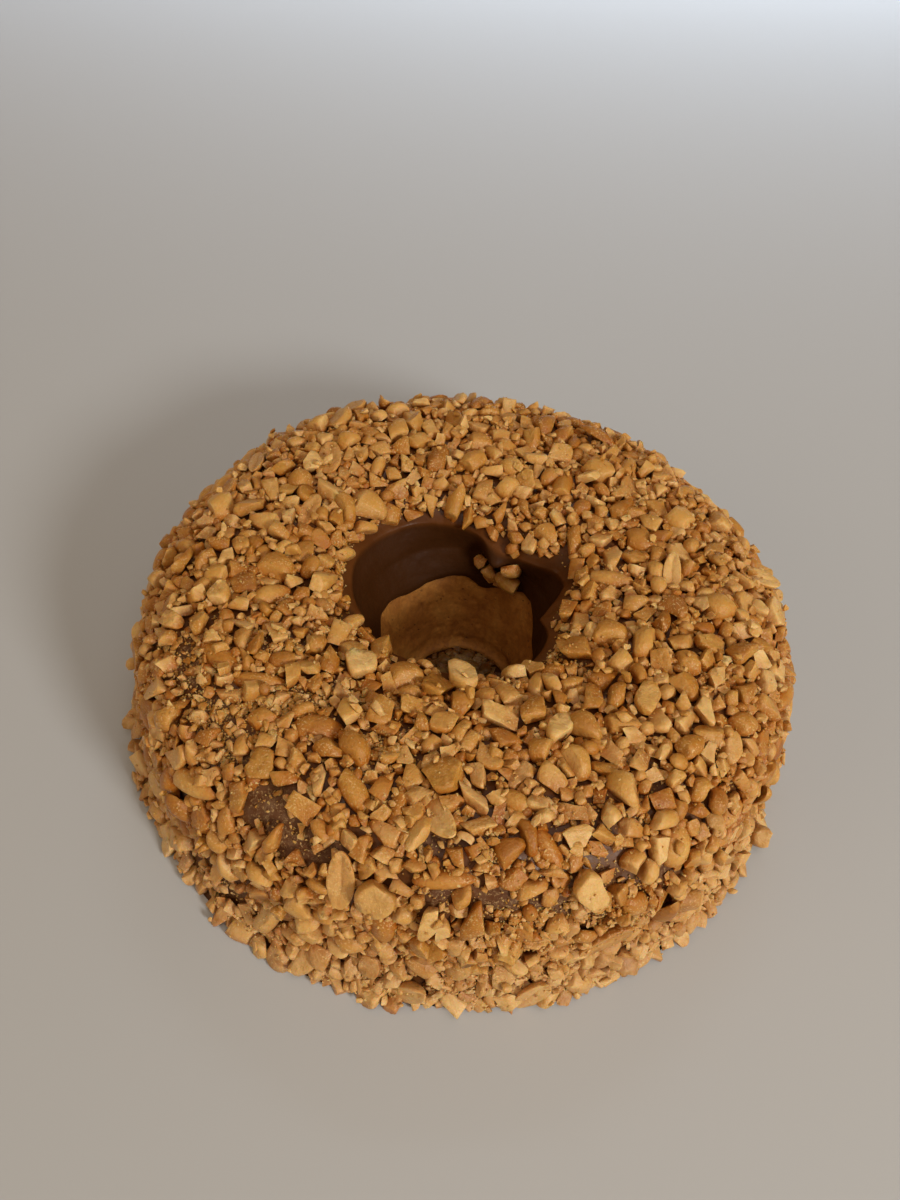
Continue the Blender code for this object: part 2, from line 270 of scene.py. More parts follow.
def chocolate():
    A, S = np.meshgrid(angles, OUT_S, indexing="ij")
    outer = COAT.at(A, S)
    flat = outer.reshape(-1, 3)
    # swirls along the normal of the plain surface
    da = COAT.at(A + 0.004, S) - outer
    back = S + 0.3 > COAT.length
    ds = (COAT.at(A, np.where(back, S - 0.3, S + 0.3)) - outer) * np.where(back, -1, 1)[..., None]
    n = np.cross(da, ds)
    n /= np.linalg.norm(n, axis=-1, keepdims=True)
    inner = in_hole(np.interp(S, COAT.s, COAT.line[:, 0]))
    amount = (1.35 - 1.0 * smooth(0.6, 1.0, inner)) * smooth(0.0, 6.0, S)
    bumps = choc_swirls(flat).reshape(A.shape) * amount
    outer = outer + n * bumps[..., None]
    outer[:, 0, 2] = 0.0
    # down the wall of the hole to the rounded, wavy lower edge
    ring = np.stack([np.cos(angles), np.sin(angles), 0 * angles], 1)
    low = around(EDGE, angles) + 0.55 * noise3(ring * 4.3, 41) + 0.30 * noise3(ring * 11.0, 42)
    t = np.linspace(0, 1, ROWS_WALL + 1)[1:]
    z = HOLE_HIGH_Z + (low[:, None] - HOLE_HIGH_Z) * t[None]
    thick = 1.9 * np.sqrt(np.clip((z - low[:, None]) / 2.6, 0, 1)) + 0.05
    thick = np.minimum(thick, 1.9)
    # the relief of the rim runs on down the wall
    start = outer[:, -1, :]
    r0 = np.hypot(start[:, 0], start[:, 1])
    plain0 = straight_hole_r(HOLE_HIGH_Z) - SKIN + HOLE_DRIFT * HOLE_HIGH_Z / HOLE_DRIFT_Z * np.cos(angles)
    extra = (r0 - plain0)[:, None] * np.exp(-((HOLE_HIGH_Z - z) / 3.5) ** 2)
    r = straight_hole_r(z) - thick + HOLE_DRIFT * z / HOLE_DRIFT_Z * np.cos(angles)[:, None] + extra
    wall = np.stack([r * np.cos(angles)[:, None], r * np.sin(angles)[:, None], z], -1)
    w = wall.reshape(-1, 3)
    toward = -np.stack([np.cos(angles), np.sin(angles), 0 * angles], -1)[:, None]
    ripple = (0.28 * noise3(w / 6.0, 6) + 0.12 * noise3(w / 2.4, 7)).reshape(r.shape)
    wall = wall + toward * (ripple * smooth(0.0, 1.5, z - low[:, None]))[..., None]
    # hidden face, sunk a little into the sponge
    back_line = resample(np.vstack([
        np.stack([straight_hole_r(np.linspace(22, HOLE_HIGH_Z, 6)), np.linspace(22, HOLE_HIGH_Z, 6)], 1),
        superellipse(HOLE_HIGH_R, HOLE_HIGH_Z, CREST_R, SPONGE_HEIGHT, RIM_N)[1:],
        superellipse(SPONGE_WAIST_R, WAIST_Z, CREST_R, SPONGE_HEIGHT, SHOULDER_N)[::-1][1:],
        np.array([[SPONGE_FOOT_R, 0.0]])]), ROWS_BACK)
    br, bz = back_line[:, 0][None] + 0 * angles[:, None], back_line[:, 1][None] + 0 * angles[:, None]
    first = low[:, None]
    bz[:, :1] = first
    br[:, :1] = straight_hole_r(first)
    ih = in_hole(br)
    br = br + HOLE_DRIFT * bz / HOLE_DRIFT_Z * np.cos(angles)[:, None] * ih
    shift = np.where(np.arange(br.shape[1])[None] < 2, 0.4, 2.6 * smooth(0.7, 1.0, ih))
    br = br + shift * ih
    back = np.stack([br * np.cos(angles)[:, None], br * np.sin(angles)[:, None], bz], -1)
    grid = np.concatenate([outer, wall, back], 1)
    grid[..., 2] = np.maximum(grid[..., 2], 0.0)
    rows = grid.shape[1]
    faces = ring_faces(COLUMNS, rows)
    ob = mesh_object("chocolate_spread", grid.reshape(-1, 3), faces)
    return ob, grid


choc_ob, choc_grid = chocolate()


# ------------------------------------------------------------------ sponge
def sponge():
    cols = 260
    a = np.arange(cols) / cols * 2 * math.pi
    rows = []
    # underside, from the outside in
    for r in (SPONGE_FOOT_R - 0.2, 80, 66, 52, 38, 26, 19):
        rows.append((np.full(cols, float(r)), np.zeros(cols), 0.0))
    # the crust curls in at the foot of the hole and then runs up the wall
    curl = np.linspace(0, 1, 9)
    for t in curl:
        z = HOLE_FILLET * t
        r = HOLE_FOOT_R + (HOLE_LOW_R - HOLE_FOOT_R) * math.sqrt(max(0.0, 1 - (1 - t) ** 2))
        rows.append((np.full(cols, r), np.full(cols, z), 1.0))
    for z in np.linspace(HOLE_FILLET, 31.5, 52)[1:]:
        rows.append((np.full(cols, straight_hole_r(z)), np.full(cols, z), 1.0))
    # hidden under the chocolate
    top = np.vstack([superellipse(HOLE_HIGH_R + 4.5, HOLE_HIGH_Z, CREST_R, SPONGE_HEIGHT - 0.6, RIM_N, 8),
                     superellipse(SPONGE_WAIST_R - 0.6, WAIST_Z, CREST_R, SPONGE_HEIGHT - 0.6, SHOULDER_N, 10)[::-1][1:]])
    for r, z in top:
        rows.append((np.full(cols, r), np.full(cols, z), 0.0))
    R = np.stack([x[0] for x in rows], 1)
    Z = np.stack([x[1] for x in rows], 1)
    show = np.array([x[2] for x in rows])[None] + 0 * R
    R = R + HOLE_DRIFT * Z / HOLE_DRIFT_Z * np.cos(a)[:, None] * in_hole(R)
    P = np.stack([R * np.cos(a)[:, None], R * np.sin(a)[:, None], Z], -1)
    flat = P.reshape(-1, 3)
    rough = (0.34 * noise3(flat / 5.0, 11) + 0.16 * noise3(flat / 1.7, 12)).reshape(R.shape)
    pits = np.clip(noise3(flat / 1.15, 13) - 0.52, 0, 1).reshape(R.shape) * 1.1
    lift = (rough - pits) * show * smooth(0.0, 1.2, Z)
    inward = -np.stack([np.cos(a), np.sin(a), 0 * a], -1)[:, None]
    P = P + inward * lift[..., None]
    ob = mesh_object("sponge_crust", P.reshape(-1, 3), ring_faces(cols, P.shape[1])[:, ::-1])
    return ob


sponge_ob = sponge()

# ------------------------------------------------------------------ peanut shapes
SPHERES = {}


def icosphere(level):
    if level not in SPHERES:
        bm = bmesh.new()
        bmesh.ops.create_icosphere(bm, subdivisions=level, radius=1.0)
        bm.verts.index_update()
        v = np.array([x.co for x in bm.verts])
        f = np.array([[x.index for x in p.verts] for p in bm.faces])
        bm.free()
        SPHERES[level] = (v / np.linalg.norm(v, axis=1, keepdims=True), f)
    return SPHERES[level]


def unit(v):
    v = np.asarray(v, float)
    return v / np.linalg.norm(v)


class Shape:
    """A peanut piece in mm: points, triangles, and how pale each point is (0 on the kernel's outer skin), with convex
    edges paler as a painted highlight.
    """

    def __init__(self, v, f, pale):
        self.v, self.f, self.pale = v, f, pale
        self.half = np.ptp(v, axis=0) / 2


def nut_shape(seed, kind, faces_wanted, like=None):
    """A half kernel, or a chunk broken from one. Its longest side lies along X and its thinnest along Z.

    The form is what is left of an ellipsoid after flat and slightly hollow cuts, so it keeps crisp edges.
    """
    rng = np.random.default_rng(seed)
    dirs, tri = icosphere(5 if kind in ("half", "large", "medium") else 4)
    cuts = []  # (normal, distance from the middle, hollow, look)
    if kind == "half":
        want = np.array([rng.uniform(6.3, 7.5), rng.uniform(3.1, 3.9), rng.uniform(1.7, 2.1)])
        if like == "slim":
            want = np.array([rng.uniform(6.8, 7.6), rng.uniform(2.3, 2.8), rng.uniform(1.5, 1.8)])
        half_l, half_w, tall = want[0], want[1], want[2] * 2
        axes = np.array([half_l, half_w, tall])
        centre = np.array([0, 0, tall * 0.42])
        cuts.append((np.array([0, 0, -1.0]), 0.0, 0.0, 2))
        if like == "chipped":
            n = unit([rng.choice([-1, 1]), rng.uniform(-0.6, 0.6), rng.uniform(-0.1, 0.8)])
            cuts.append((n, half_l * rng.uniform(0.55, 0.75), 0.2, 1))
    else:
        lo, hi = {"large": ((3.6, 2.8, 1.7), (4.9, 3.7, 2.6)), "medium": ((2.5, 1.8, 1.2), (3.6, 2.6, 2.0)),
                  "small": ((1.4, 1.0, 0.75), (2.2, 1.6, 1.35)), "chip": ((0.7, 0.5, 0.35), (1.25, 0.9, 0.65))}[kind]
        want = rng.uniform(lo, hi)
        centre = np.zeros(3)
        mean = want.mean()
        if like == "cap":  # broken off a half kernel: domed above, the kernel's inner face below
            axes = want * np.array([1.25, 1.15, 1.55])
            cuts.append((np.array([0, 0, -1.0]), want[2] * 0.6, 0.14 * mean, 2))
            count, steep = int(rng.integers(2, 4)), 0.35
        else:
            axes = want * np.array([1.44, 1.40, 1.52])
            cuts.append((unit([rng.uniform(-0.25, 0.25), rng.uniform(-0.3, 0.3), -1]), want[2] * rng.uniform(0.6, 0.85),
                         rng.uniform(-0.03, 0.1) * mean, 2 if rng.random() < 0.5 else 1))
            if rng.random() < 0.7:
                cuts.append((unit([rng.uniform(-0.45, 0.45), rng.uniform(-0.5, 0.5), 1]), want[2] * rng.uniform(0.6, 0.95),
                             rng.uniform(-0.05, 0.12) * mean, 1))
            count, steep = int(rng.integers(3, 5)), 0.6
        turn = rng.uniform(0, 2 * math.pi)
        for k in range(count):
            b = turn + (k + rng.uniform(-0.36, 0.36)) * 2 * math.pi / max(count, 3)
            n = unit([math.cos(b), math.sin(b), rng.uniform(-steep, steep)])
            cuts.append((n, np.linalg.norm(n * want) * rng.uniform(0.55, 0.95), rng.uniform(-0.04, 0.13) * mean, 1))
    o, d = centre / axes, dirs / axes
    a, b, c = (d * d).sum(1), (d * o).sum(1), (o * o).sum() - 1
    limits = [(-b + np.sqrt(np.maximum(b * b - a * c, 1e-9))) / a * (1 + 0.035 * noise3(dirs * 1.9, seed + 90))]
    kinds, pale = [0], [0.0]
    for i, (n, h, hollow, look) in enumerate(cuts):
        along = np.maximum(dirs @ n, 0.03)
        reach = h - n @ centre
        across = np.sqrt(np.maximum(1 / along ** 2 - 1, 0)) * reach
        size = 0.8 * axes[:2].mean() if kind != "half" else 99.0
        depth = hollow * np.clip(1 - (across / size) ** 2, 0, 1)
        if not (kind == "half" and i == 0):
            depth = depth + reach * (0.035 * noise3(dirs * 2.6 + 7 * i, seed + i) + 0.022 * noise3(dirs * 7.0 + 3 * i, seed + 50 + i))
        limits.append(np.where(dirs @ n > 0.03, (reach - depth) / along, 1e3))
        kinds.append(look)
        pale.append(rng.uniform(0.3, 1.0) if look == 1 else 0.75)
    L = np.stack(limits)
    sharp = {"half": 7.0, "large": 8.0, "medium": 11.0, "small": 16.0, "chip": 28.0}[kind]
    low = L.min(0)
    r = low - np.log(np.exp(-sharp * np.minimum(L - low, 12)).sum(0)) / sharp
    which = np.array(kinds)[L.argmin(0)]
    paleness = np.array(pale)[L.argmin(0)]
    p = centre + dirs * r[:, None]
    if kind == "half":
        x = p[:, 0] / half_l
        p[:, 1] *= 1 - 0.12 * x - 0.05 * x * x
        p[:, 2] *= 1 - 0.10 * x
        flat = np.exp(-(p[:, 2] / 0.5) ** 2) * (which == 2)
        groove = 0.36 * np.exp(-(p[:, 1] / 0.42) ** 2) * np.clip(1.1 - x * x * 1.3, 0, 1)
        dish = 0.42 * np.clip(1 - x * x - (p[:, 1] / half_w) ** 2 * 1.2, 0, 1)
        pit = 0.6 * np.exp(-(((p[:, 0] - 0.72 * half_l) / 1.3) ** 2 + (p[:, 1] / 0.75) ** 2))
        p[:, 2] += flat * (groove + dish + pit)
        p[:, 1] += 0.012 * p[:, 0] ** 2 * rng.uniform(-1, 1)
        p[:, 2] += 0.012 * p[:, 0] ** 2 * rng.uniform(-0.6, 0.8)
    p -= (p.max(0) + p.min(0)) / 2
    p *= want / (np.ptp(p, axis=0) / 2)
    me = bpy.data.meshes.new("shape")
    me.from_pydata(p.tolist(), [], tri.tolist())
    me.update()
    ob = bpy.data.objects.new("shape", me)
    bpy.context.scene.collection.objects.link(ob)
    m = ob.modifiers.new("fewer", "DECIMATE")
    m.ratio = faces_wanted / len(tri)
    dg = bpy.context.evaluated_depsgraph_get()
    less = bpy.data.meshes.new_from_object(ob.evaluated_get(dg), depsgraph=dg)
    v = np.empty(len(less.vertices) * 3)
    less.vertices.foreach_get("co", v)
    v = v.reshape(-1, 3)
    less.calc_loop_triangles()
    f = np.empty(len(less.loop_triangles) * 3, np.int32)
    less.loop_triangles.foreach_get("vertices", f)
    f = f.reshape(-1, 3)
    bpy.data.objects.remove(ob)
    bpy.data.meshes.remove(me)
    bpy.data.meshes.remove(less)
    tree = KDTree(len(p))
    for i, q in enumerate(p):
        tree.insert(q, i)
    tree.balance()
    near = np.array([tree.find(q)[1] for q in v])
    ends = np.vstack([f[:, [0, 1]], f[:, [1, 2]], f[:, [2, 0]]])
    count = np.maximum(np.bincount(ends[:, 0], minlength=len(v)), 1)

    def beside(values):
        return np.stack([np.bincount(ends[:, 0], values[ends[:, 1], c], len(v)) / count for c in range(values.shape[1])], 1)

    corner = np.cross(v[f[:, 1]] - v[f[:, 0]], v[f[:, 2]] - v[f[:, 0]])
    n = np.stack([sum(np.bincount(f[:, k], corner[:, c], len(v)) for k in range(3)) for c in range(3)], 1)
    n /= np.maximum(np.linalg.norm(n, axis=1, keepdims=True), 1e-9)
    stride = np.bincount(ends[:, 0], np.linalg.norm(v[ends[:, 1]] - v[ends[:, 0]], axis=1), len(v)) / count
    # convex edges are made paler: a painted highlight along each piece's edges
    edge = np.clip(((v - beside(v)) * n).sum(1) / np.maximum(stride, 1e-6) - 0.14, 0, 0.4) / 0.4
    tone = paleness[near][:, None]
    for _ in range(2):
        tone = 0.5 * tone + 0.5 * beside(tone)
    return Shape(v, f, np.clip(0.08 + 0.92 * tone[:, 0] + 0.75 * edge, 0, 1.2))


HALVES = [nut_shape(100 + i, "half", 560, ["plain", "plain", "slim", "chipped"][i % 4]) for i in range(10)]
CAPS = {"large": 3, "medium": 3, "small": 4}  # one shape in so many is a cap of a kernel
LARGE = [nut_shape(200 + i, "large", 300, "cap" if i % CAPS["large"] == 0 else None) for i in range(20)]
MEDIUM = [nut_shape(300 + i, "medium", 144, "cap" if i % CAPS["medium"] == 0 else None) for i in range(26)]
SMALL = [nut_shape(400 + i, "small", 72, "cap" if i % CAPS["small"] == 0 else None) for i in range(21)]
CHIPS = [nut_shape(500 + i, "chip", 32) for i in range(12)]
KINDS = {"halves": HALVES, "large": LARGE, "medium": MEDIUM, "small": SMALL, "chips": CHIPS}


def crumb_shape(seed):
    rng = np.random.default_rng(seed)
    bm = bmesh.new()
    for p in rng.normal(size=(9, 3)):
        bm.verts.new(unit(p) * rng.uniform(0.75, 1.1) * np.array([0.42, 0.34, 0.26]))
    bmesh.ops.convex_hull(bm, input=list(bm.verts))
    loose = [v for v in bm.verts if not v.link_faces]
    bmesh.ops.delete(bm, geom=loose, context="VERTS")
    bmesh.ops.triangulate(bm, faces=list(bm.faces))
    bmesh.ops.recalc_face_normals(bm, faces=list(bm.faces))
    bm.verts.index_update()
    bm.normal_update()
    v = np.array([x.co for x in bm.verts])
    f = np.array([[x.index for x in p.verts] for p in bm.faces])
    bm.free()
    return Shape(v, f, np.full(len(v), 0.8))


CRUMBS = [crumb_shape(600 + i) for i in range(10)]
KINDS["crumbs"] = CRUMBS
KINDS["foot"] = MEDIUM + SMALL  # nuts at the foot of the hole, darkened with painted shade

# ------------------------------------------------------------------ where nuts lie on the coat
rng = np.random.default_rng(2024)
GA, GS = 720, 420
ga = np.arange(GA) / GA * 2 * math.pi
gs = np.linspace(0.0, COAT.length, GS)
A, S = np.meshgrid(ga, gs, indexing="ij")
CORE = COAT.at(A, S)
d_a = np.roll(CORE, -1, 0) - np.roll(CORE, 1, 0)
d_s = np.gradient(CORE, axis=1)
NORM = np.cross(d_a, d_s)
AREA = np.linalg.norm(NORM, axis=-1)
NORM = NORM / np.maximum(AREA, 1e-9)[..., None]
AREA = AREA / AREA.sum()
CORE = CORE + NORM * (choc_swirls(CORE.reshape(-1, 3)).reshape(A.shape) * 1.35)[..., None]
ON_LINE_R = np.interp(S, COAT.s, COAT.line[:, 0])
INNER = in_hole(ON_LINE_R)
PIX = to_pixel(CORE)
SEEN = ((CAM_AT - CORE) * NORM).sum(-1) > 0

# Bare or thinly covered patches of chocolate, as (x, y, half width, half height, lean in degrees, how bare)
PATCHES = [(190, 668, 9, 22, -10, 1.0), (216, 708, 20, 13, 25, 0.95), (240, 750, 15, 14, 0, 1.0), (270, 808, 23, 19, 15, 1.0),
           (294, 843, 27, 13, 30, 1.0), (238, 886, 18, 12, 15, 0.9), (205, 858, 10, 12, 0, 0.7), (330, 850, 12, 8, 0, 0.7),
           (518, 904, 38, 13, 3, 1.0), (560, 897, 12, 20, 0, 0.9), (604, 868, 14, 10, 0, 0.8), (655, 868, 24, 10, -15, 1.0),
           (592, 912, 16, 8, 0, 0.6), (645, 790, 10, 8, 0, 0.5), (437, 896, 18, 6, 0, 0.9), (430, 842, 8, 9, 0, 0.7),
           (375, 752, 12, 10, 0, 0.5), (506, 548, 20, 12, 20, 0.8), (349, 590, 11, 44, -3, 1.0), (392, 660, 20, 10, 25, 0.7),
           (566, 590, 13, 12, 0, 0.6), (572, 668, 24, 9, -20, 0.8), (480, 674, 44, 7, 0, 0.8), (392, 533, 26, 9, -25, 1.0),
           (438, 522, 26, 6, 0, 1.0), (550, 559, 17, 8, 12, 1.0), (335, 560, 8, 12, 0, 0.5), (556, 590, 15, 24, 20, 1.0),
           (550, 628, 13, 26, -25, 1.0), (548, 657, 18, 14, -30, 0.9), (160, 640, 8, 14, 0, 0.5), (700, 640, 12, 10, 0, 0.4),
           (302, 702, 24, 8, -5, 0.62), (207, 722, 12, 12, 30, 0.9), (372, 745, 12, 8, 0, 0.62)]
# Where crumbs and powder gather
CRUMBY = [(262, 706, 42, 15, -5, 1.0), (304, 702, 26, 9, -5, 1.0), (215, 715, 20, 14, 10, 0.9), (234, 746, 20, 16, 0, 0.9), (380, 745, 26, 22, 20, 0.9),
          (395, 722, 22, 12, 0, 0.6), (490, 855, 14, 12, 0, 0.8), (400, 925, 30, 18, 0, 0.7), (545, 925, 60, 16, 0, 0.9),
          (610, 905, 30, 20, 0, 0.8), (562, 655, 26, 16, -20, 0.9), (345, 560, 14, 20, 0, 0.6), (190, 690, 26, 40, -20, 0.5),
          (300, 650, 40, 18, 0, 0.5), (470, 990, 160, 26, 0, 0.6), (250, 950, 60, 26, 30, 0.5)]


def in_patches(patches, grow=0.0):
    """How far each point of the core lies in patches given as (x, y, half width, half height, lean, amount)."""
    found = np.zeros(A.shape)
    for x, y, w, h, lean, amount in patches:
        c, s = math.cos(math.radians(lean)), math.sin(math.radians(lean))
        dx, dy = PIX[..., 0] - x, PIX[..., 1] - y
        u, v = (dx * c + dy * s) / (w + grow), (-dx * s + dy * c) / (h + grow)
        found = np.maximum(found, amount * np.exp(-((u * u + v * v) ** 1.5) * 0.5) * SEEN)
    return found


def bareness(grow=0.0):
    bare = in_patches(PATCHES, grow)
    # the same sort of patches where the photograph doesn't look
    wild = noise3(CORE.reshape(-1, 3) / 17.0, 31).reshape(A.shape)
    band = np.exp(-((S - 55) / 20) ** 2)
    bare = np.maximum(bare, np.where(SEEN, 0, smooth(0.28, 0.6, wild) * (0.35 + 0.6 * band)))
    return bare


BARE = bareness()
CLEAR = bareness(5.5)  # where the middle of a nut would still reach over a bare patch
CRUMBS_AT = in_patches(CRUMBY)
# nuts stop at the rim of the hole
STOP = smooth(0.90, 0.985, INNER)


def draw(count, weight):
    """Random points on the core by area and weight: grid indices (i, j)."""
    w = (AREA * weight).ravel()
    pick = rng.choice(w.size, size=count, p=w / w.sum())
    return pick // GS, pick % GS


class Field:
    """Circles already placed, hashed by cell, to keep nuts from lying in each other."""

    def __init__(self, cell=7.0):
        self.cell, self.boxes = cell, {}

    def key(self, p):
        return tuple(np.floor(p / self.cell).astype(int))

    def clear(self, p, r, share):
        kx, ky, kz = self.key(p)
        for i in (-1, 0, 1):
            for j in (-1, 0, 1):
                for k in (-1, 0, 1):
                    for q0, q1, q2, qr in self.boxes.get((kx + i, ky + j, kz + k), ()):
                        d = (p[0] - q0) ** 2 + (p[1] - q1) ** 2 + (p[2] - q2) ** 2
                        if d < (share * (r + qr)) ** 2:
                            return False
        return True

    def add(self, p, r):
        self.boxes.setdefault(self.key(p), []).append((p[0], p[1], p[2], r))


FIELD = Field()
placed = {k: [] for k in KINDS}  # (shape index, 3x3 rotation with size, place, tone)


def turned(n, yaw, tilt, lean, flip):
    """Rotation whose Z is n, leant over by tilt towards the angle lean, with X turned by yaw."""
    n = unit(n)
    up = np.array([0, 0, 1.0]) if abs(n[2]) < 0.9 else np.array([0, 1.0, 0])
    t1 = unit(np.cross(up, n))
    t2 = np.cross(n, t1)
    z = unit(n * math.cos(tilt) + (t1 * math.cos(lean) + t2 * math.sin(lean)) * math.sin(tilt))
    x = t1 * math.cos(yaw) + t2 * math.sin(yaw)
    x = unit(x - z * (x @ z))
    y = np.cross(z, x)
    m = np.stack([x, y, z], 1)
    if flip:
        m = m @ np.diag([1.0, -1.0, -1.0])
    return m


def spots_of(shape, m, size):
    """Footprint circles of a turned shape, relative to its middle: [(offset, radius)]."""
    a, b = shape.half[0] * np.ravel(size)[0], shape.half[1] * np.ravel(size)[-2 if np.size(size) == 3 else 0]
    if a / b < 1.3:
        return [(np.zeros(3), (a + b) / 2)]
    off = m[:, 0] * (a - b)
    return [(off, b), (np.zeros(3), b), (-off, b)] if a / b > 1.7 else [(off, b), (-off, b)]


def settle(kind, index, m, size, p, n, embed, tone=None, ground=None):
    """Sets a nut on the chocolate at p: its lowest point sinks in by a share of its height there."""
    shape = KINDS[kind][index]
    size = np.ones(3) * size
    pts = (shape.v * size) @ m.T
    h = pts @ n
    place = p + n * (-h.min() - embed * (h.max() - h.min()))
    low = (pts[:, 2] + place[2]).min()
    if low < 0.05:
        place = place + np.array([0, 0, 0.05 - low])
    # ground: the height from which the painted crevice shade low on the nut is measured
    ground = p if ground is None else ground
    placed[kind].append((index, m * size[None], place, rng.random(4) if tone is None else tone, np.append(n, n @ ground)))
    return place


def scatter(kind, count, tries, share, weight, tilt, embed, size=(0.92, 1.1), flips=0.35, pool=None):
    shapes = KINDS[kind]
    ii, jj = draw(tries, weight)
    done = 0
    for i, j in zip(ii, jj):
        if done >= count:
            break
        index = int(rng.integers(len(shapes))) if pool is None else int(rng.choice(pool))
        s = rng.uniform(*size)
        n = NORM[i, j]
        m = turned(n, rng.uniform(0, 2 * math.pi), abs(rng.normal(0, tilt)), rng.uniform(0, 2 * math.pi), rng.random() < flips)
        p = CORE[i, j] + np.cross(n, rng.normal(size=3)) * 0.15
        spots = spots_of(shapes[index], m, s)
        if not all(FIELD.clear(p + off, r, share) for off, r in spots):
            continue
        for off, r in spots:
            FIELD.add(p + off, r)
        settle(kind, index, m, s, p, n, rng.uniform(*embed))
        done += 1
    return done


def core_hit(x, y):
    """The core point and normal that the photograph's camera sees at a pixel."""
    d = (PIX[..., 0] - x) ** 2 + (PIX[..., 1] - y) ** 2 + np.where(SEEN, 0, 1e9)
    i, j = np.unravel_index(np.argmin(d), d.shape)
    return CORE[i, j], NORM[i, j]


def hero(look, x, y, long_px, wide_px, lean_deg, light=None):
    """A nut that the photograph shows plainly: its middle, length, width and lean in the picture.

    look: H half kernel, G half kernel with its groove up, D domed piece, F flat hollow face up, B block.
    """
    p, n = core_hit(x, y)
    px = to_pixel(p + n * 1.8)
    p, n = core_hit(2 * x - px[0], 2 * y - px[1])
    if n @ unit(CAM_AT - p) < 0.36:
        return
    base = turned(n, 0, 0, 0, False)
    here = to_pixel(p)
    J = np.stack([(to_pixel(p + base[:, k] * 0.5) - here) / 0.5 for k in (0, 1)], 1)
    a = math.radians(lean_deg)
    along = np.linalg.solve(J, np.array([math.cos(a), -math.sin(a)]) * long_px)
    across = np.linalg.solve(J, np.array([math.sin(a), math.cos(a)]) * wide_px)
    yaw = math.atan2(along[1], along[0])
    long_mm, wide_mm = np.linalg.norm(along), np.linalg.norm(across)
    if look in "HG":
        kind, pool = "halves", [2, 6] if wide_mm / long_mm < 0.42 else [0, 1, 4, 5, 8, 9]
    else:
        kind = "large" if long_mm > 6.4 else "medium" if long_mm > 4.3 else "small"
        step = CAPS[kind]
        pool = [i for i in range(len(KINDS[kind])) if (i % step == 0) == (look in "DF")]
    index = int(pool[int(rng.integers(len(pool)))])
    shape = KINDS[kind][index]
    sx, sy = long_mm / (2 * shape.half[0]), wide_mm / (2 * shape.half[1])
    size = np.clip([sx, sy, (sx + sy) / 2], 0.65, 1.4)
    size[2] = min(size[2], 1.15)
    m = turned(n, yaw, abs(rng.normal(0, math.radians(9 if look != "B" else 14))), rng.uniform(0, 2 * math.pi), look in "GF")
    for off, r in spots_of(shape, m, size):
        FIELD.add(p + off, r)
    tone = rng.random(4)
    if light is not None:
        tone[0] = light
    settle(kind, index, m, size, p, n, 0.16, tone)


